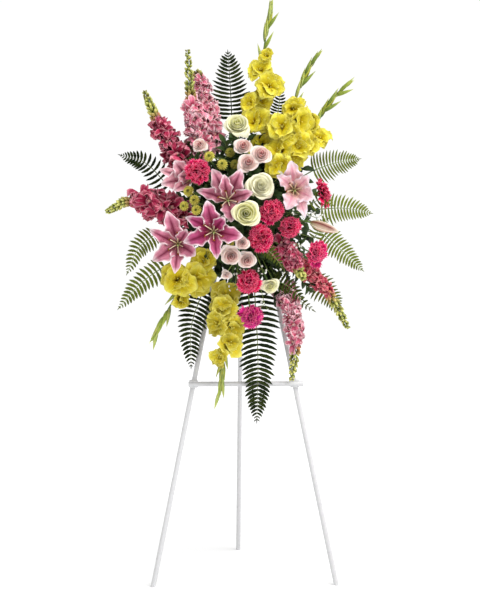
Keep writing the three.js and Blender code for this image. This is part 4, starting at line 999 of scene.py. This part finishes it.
# Depth and the way of the stem.
LEAFY_STEMS = [(-150, (-60, 1215), (-110, 1245), (-150, 1290)), (-135, (90, 1000), (140, 960), (190, 900))]
WHITE_FILLER = (-165, [(105, 1110), (160, 1130), (215, 1110)])
FOLIAGE = {"twigs": 150, "middle": (5, 1130), "reach": (205, 245), "rim": -85, "dome": 150}
EXTRA_TWIGS = [(-36, 1350, -150), (-60, 1334, -160), (-20, 1338, -165), (-160, 1325, -125),
               (-182, 1292, -125), (112, 880, -135), (128, 862, -125), (92, 868, -140)]
FILLER_SPRIGS = [(60, 1020, -250), (150, 1030, -215), (-60, 1110, -240), (110, 1240, -215), (-14, 945, -215),
                 (-30, 905, -195), (52, 955, -235), (168, 1128, -190), (60, 850, -190), (-150, 1060, -215),
                 (120, 960, -200)]


def twig(piece, points, leaves, length, width, tone):
    """A thin stem with small pointed leaves by turns on its outer part."""
    curve = Curve(points)
    piece.tube(curve.line(9), (1.7, 0.7), STEM, 5, tone)
    for k, share in paced(leaves):
        here, way = curve.step(mix(0.4, 1.0, share))
        out = turned(way, k * GOLDEN_TURN + tone * 6)
        tip = here + unit(out * 0.9 + way * 0.75) * (length * (0.75 + 0.45 * chance()))
        leaf(piece, here, tip, width * (0.8 + 0.4 * chance()), way + FORWARD * 0.8, LEAF,
             min(tone * 0.75 + 0.25 * chance(), 1), arch=0.12, wave=0.08, rows=6, fold=0.3, columns=3)


def leafy_stem(piece, node, row):
    depth, *way = row
    points = spike_points(node, depth, way)
    planted(piece, points, (2.2, 1.2))
    twig(piece, points[1:], 16, 40, 17, 0.35)
    return "dark_leaf"


def foliage_twig(piece, at, depth):
    end = seen(at, depth)
    foot, exit_point = rooted(at, BACK_FEET_Y - 10, end)
    points = [foot, exit_point, mix(foot, end, 0.6) + vec(0, 8, -4), end]
    twig(piece, points, 11, 38, 19, chance() ** 3)


def make_inner_foliage():
    """Dark leafy twigs that fill the space behind the blooms."""
    piece = Piece("inner_foliage")
    for k in range(FOLIAGE["twigs"]):
        turn = k * GOLDEN_TURN
        rim = sqrt((k + 0.5) / FOLIAGE["twigs"])
        at = np.array([cos(turn), sin(turn)]) * rim * FOLIAGE["reach"] + FOLIAGE["middle"]
        foliage_twig(piece, at, FOLIAGE["rim"] - FOLIAGE["dome"] * (1 - rim ** 2) * chance() ** 0.5)
    for *at, depth in EXTRA_TWIGS:
        foliage_twig(piece, at, depth)
    piece.make(FRONT, "dark_leaf")


def sprig(piece, end, reach, count):
    """Tiny white florets of five petals on hair-thin stalks."""
    for k in range(count):
        out = unit(stray(size=3) * vec(1, 0.6, 1) + FORWARD * 0.9)
        tip = end + out * reach * (0.4 + 0.6 * chance())
        piece.tube([end, mix(end, tip, 0.5) + vec(0, 0, 1.5), tip], (0.6, 0.5, 0.45), PALE_STEM, 4, 0.5)
        size = 3.4 + 1.6 * chance()
        for petal in range(5):
            away = turned(out, petal * 2 * pi / 5)
            leaf(piece, tip, tip + away * size + out * size * 0.45, size * 0.8, out, FILLER, chance(),
                 arch=0.1, rows=4, fold=0.2, thickness=0.4, columns=3)


def make_white_filler():
    piece = Piece("white_filler_florets")
    points = spike_points("white_filler_stem", *WHITE_FILLER)
    planted(piece, points, (1.8, 1.0), PALE_STEM)
    curve = Curve(points)
    for t in (0.62, 0.78, 0.92, 1.0):
        sprig(piece, curve.point(t), 30, 7)
    piece.make(FRONT, "white_filler", "white_filler_stem")
    piece = Piece("white_filler_sprigs")
    for *at, depth in FILLER_SPRIGS:
        end = seen(at, depth)
        foot, exit_point = rooted(at, FRONT_FEET_Y, end)
        planted(piece, [foot, exit_point, mix(foot, end, 0.7), end], (1.2, 0.8), PALE_STEM, sides=5)
        sprig(piece, end, 24, 6)
    piece.make(FRONT, "white_filler")


# Easel

TUBE_RADIUS = 7.5
TUBE_EDGE = 1.2
ROUND_SIDES = 32
APEX_HEIGHT = 1372
FRONT_FOOT = (277, -150)
BACK_FOOT = vec(0, 370, 0)
LEG_TOP = 1318
BAR = {"height": 607, "left": -170, "right": 180, "gap": 0.6}
CLIP = {"width": 26, "height": 22, "ahead": 2, "behind": 12, "edge": 2.5}


def front_leg_point(side, z):
    share = 1 - z / APEX_HEIGHT
    return vec(side * FRONT_FOOT[0] * share, FRONT_FOOT[1] * share, z)


def straight_tube(piece, start, end, level_foot=False):
    """A round bar with softened ends. A level foot is cut flat on the floor."""
    axis = unit(end - start)
    length = norm(end - start)
    soft = [(0, TUBE_EDGE), (TUBE_EDGE * 0.35, TUBE_EDGE * 0.35), (TUBE_EDGE, 0)]
    stations = [*soft, (length / 2, 0), *[(length - along, cut) for along, cut in reversed(soft)]]
    rings = [circle(start + axis * along, axis, TUBE_RADIUS - cut, ROUND_SIDES) for along, cut in stations]
    if level_foot:
        for number in range(3):
            rise = (number * 0.5 - rings[number][:, 2]) / axis[2]
            rings[number] = rings[number] + axis * rise[:, None]
    piece.loft(rings, WHITE_PAINT)


def make_legs():
    legs = [("easel_left_leg", FRONT, front_leg_point(-1, 0), front_leg_point(-1, LEG_TOP)),
            ("easel_right_leg", FRONT, front_leg_point(1, 0), front_leg_point(1, LEG_TOP)),
            ("easel_back_leg", BACK, BACK_FOOT, PIN_MIDDLE - unit(BACK_FOOT - PIN_MIDDLE) * 10)]
    for name, body, foot, top in legs:
        piece = Piece(f"{name}_tube")
        straight_tube(piece, foot, top, True)
        piece.make(body, "white_paint", name)


def rounded_block(piece, low, high, edge):
    """A block whose upright corners and top and bottom edges are rounded."""
    middle = (low + high) / 2
    half = (high - low) / 2
    angles = np.arange(ROUND_SIDES) * 2 * pi / ROUND_SIDES + pi / ROUND_SIDES
    around = np.column_stack([cos(angles), sin(angles)])
    rings = []
    for side, inset, drop in ((-1, 1, 0), (-1, 0.3, 0.3), (-1, 0, 1), (1, 0, 1), (1, 0.3, 0.3), (1, 1, 0)):
        flat = np.sign(around) * (half[:2] - edge) + around * (edge - inset * edge * 0.8)
        z = middle[2] + side * (half[2] - drop * edge)
        rings.append(np.column_stack([middle[:2] + flat, np.full(ROUND_SIDES, z)]))
    piece.loft(rings, WHITE_PAINT)


def make_crossbar():
    piece = Piece("easel_crossbar_tube")
    z = BAR["height"]
    leg_x, leg_y, _ = front_leg_point(1, z)
    y = leg_y - TUBE_RADIUS * 2 - BAR["gap"]
    straight_tube(piece, vec(BAR["left"], y, z), vec(BAR["right"], y, z))
    for x in (-leg_x, leg_x):
        low = vec(x - CLIP["width"] / 2, y - CLIP["ahead"], z - CLIP["height"] / 2)
        high = vec(x + CLIP["width"] / 2, leg_y + CLIP["behind"], z + CLIP["height"] / 2)
        rounded_block(piece, low, high, CLIP["edge"])
    piece.make(FRONT, "white_paint", "easel_crossbar")


def dress_frame_nodes():
    """Hidden fittings keep their solids, the head and the tray with softened edges."""
    looks = {"easel_upper_rung": WHITE_PAINT, "easel_head": WHITE_PAINT, "hinge_pin": PIN_STEEL,
             "foam_tray": TRAY_PLASTIC, "foam_block": WET_FOAM}
    for name, material in looks.items():
        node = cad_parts[name]
        node.data.materials.clear()
        node.data.materials.append(material)
        if name in ("easel_head", "foam_tray"):
            soften = node.modifiers.new("soft_edges", "BEVEL")
            soften.width = 0.0008
            soften.segments = 2


# Studio, in metres

FLOOR_REACH = 14
SUN = {"power": 3.1, "width": 58, "from": (1.1, -1.5, 2.6)}
SKY_WHITE = 1.02
SKY_CEILING = 0.35
DARK_SIDE = 0.1
FARTHEST = 60


def add_object(name, data):
    thing = bpy.data.objects.new(name, data)
    bpy.context.scene.collection.objects.link(thing)
    return thing


def aimed(way):
    return way.to_track_quat("-Z", "Y").to_euler()


def make_studio():
    mesh = bpy.data.meshes.new("floor")
    corners = [(x * FLOOR_REACH, y * FLOOR_REACH, 0) for x, y in ((-1, -1), (1, -1), (1, 1), (-1, 1))]
    mesh.from_pydata(corners, [], [(0, 1, 2, 3)])
    mesh.materials.append(FLOOR)
    add_object("floor", mesh)
    sun = bpy.data.lights.new("key", "SUN")
    sun.energy = SUN["power"]
    sun.angle = radians(SUN["width"])
    add_object("key", sun).rotation_euler = aimed(-Vector(SUN["from"]))
    bpy.context.scene.view_settings.view_transform = "Standard"


def make_sky():
    """Even white round the horizon, a dimmer ceiling, and a dark screen high on the left."""
    world = bpy.data.worlds.new("studio")
    bpy.context.scene.world = world
    net = Nodes(world)
    x, _, z = net.parts(net.add("TexCoord", output="Generated"))
    white = [SKY_WHITE] * 3
    colour = net.ramp(z, {0: white, 0.3: white, 0.55: [SKY_CEILING] * 3})
    left = net.spread(x, -0.75, -0.35, 1, 0)
    above = net.spread(z, 0.24, 0.34, 0, 1)
    shade = net.spread(net.math("MULTIPLY", left, above), 0, 1, 1, DARK_SIDE)
    net.feed(net.tree.nodes["Background"], {0: colour, 1: shade})


def make_camera():
    camera = add_object("camera", bpy.data.cameras.new("camera"))
    camera.data.lens = LENS
    camera.data.clip_end = FARTHEST
    camera.location = to_world(EYE)
    camera.rotation_euler = aimed(to_world(LOOK_AT) - camera.location)
    bpy.context.scene.camera = camera


make_camera()
make_studio()
make_sky()
dress_frame_nodes()
make_legs()
make_crossbar()
make_all("lily", "bloom", LILIES, lily)
make_lily_bud()
make_all("rose", "bloom", ROSES, stem_of_heads, rose, "cream_rose_petal", 0.34, *CREAM)
make_all("carnation", "bloom", CARNATIONS, stem_of_heads, carnation, "carnation_petal", 0.58)
make_all("spray_rose", "bloom", SPRAY_ROSES, stem_of_heads, rose, "blush_rose_petal", 0.42, *BLUSH)
make_all("button_mum", "bloom", MUMS, stem_of_heads, button_mum, "mum_petal", 0.24)
make_all("gladiolus", "spike", GLADIOLI, gladiolus)
make_all("snapdragon", "spike", SNAPDRAGONS, snapdragon)
make_all("fern", "frond", FERNS, fern)
make_inner_fronds()
make_all("leafy_stem", "leaves", LEAFY_STEMS, leafy_stem)
make_inner_foliage()
make_white_filler()
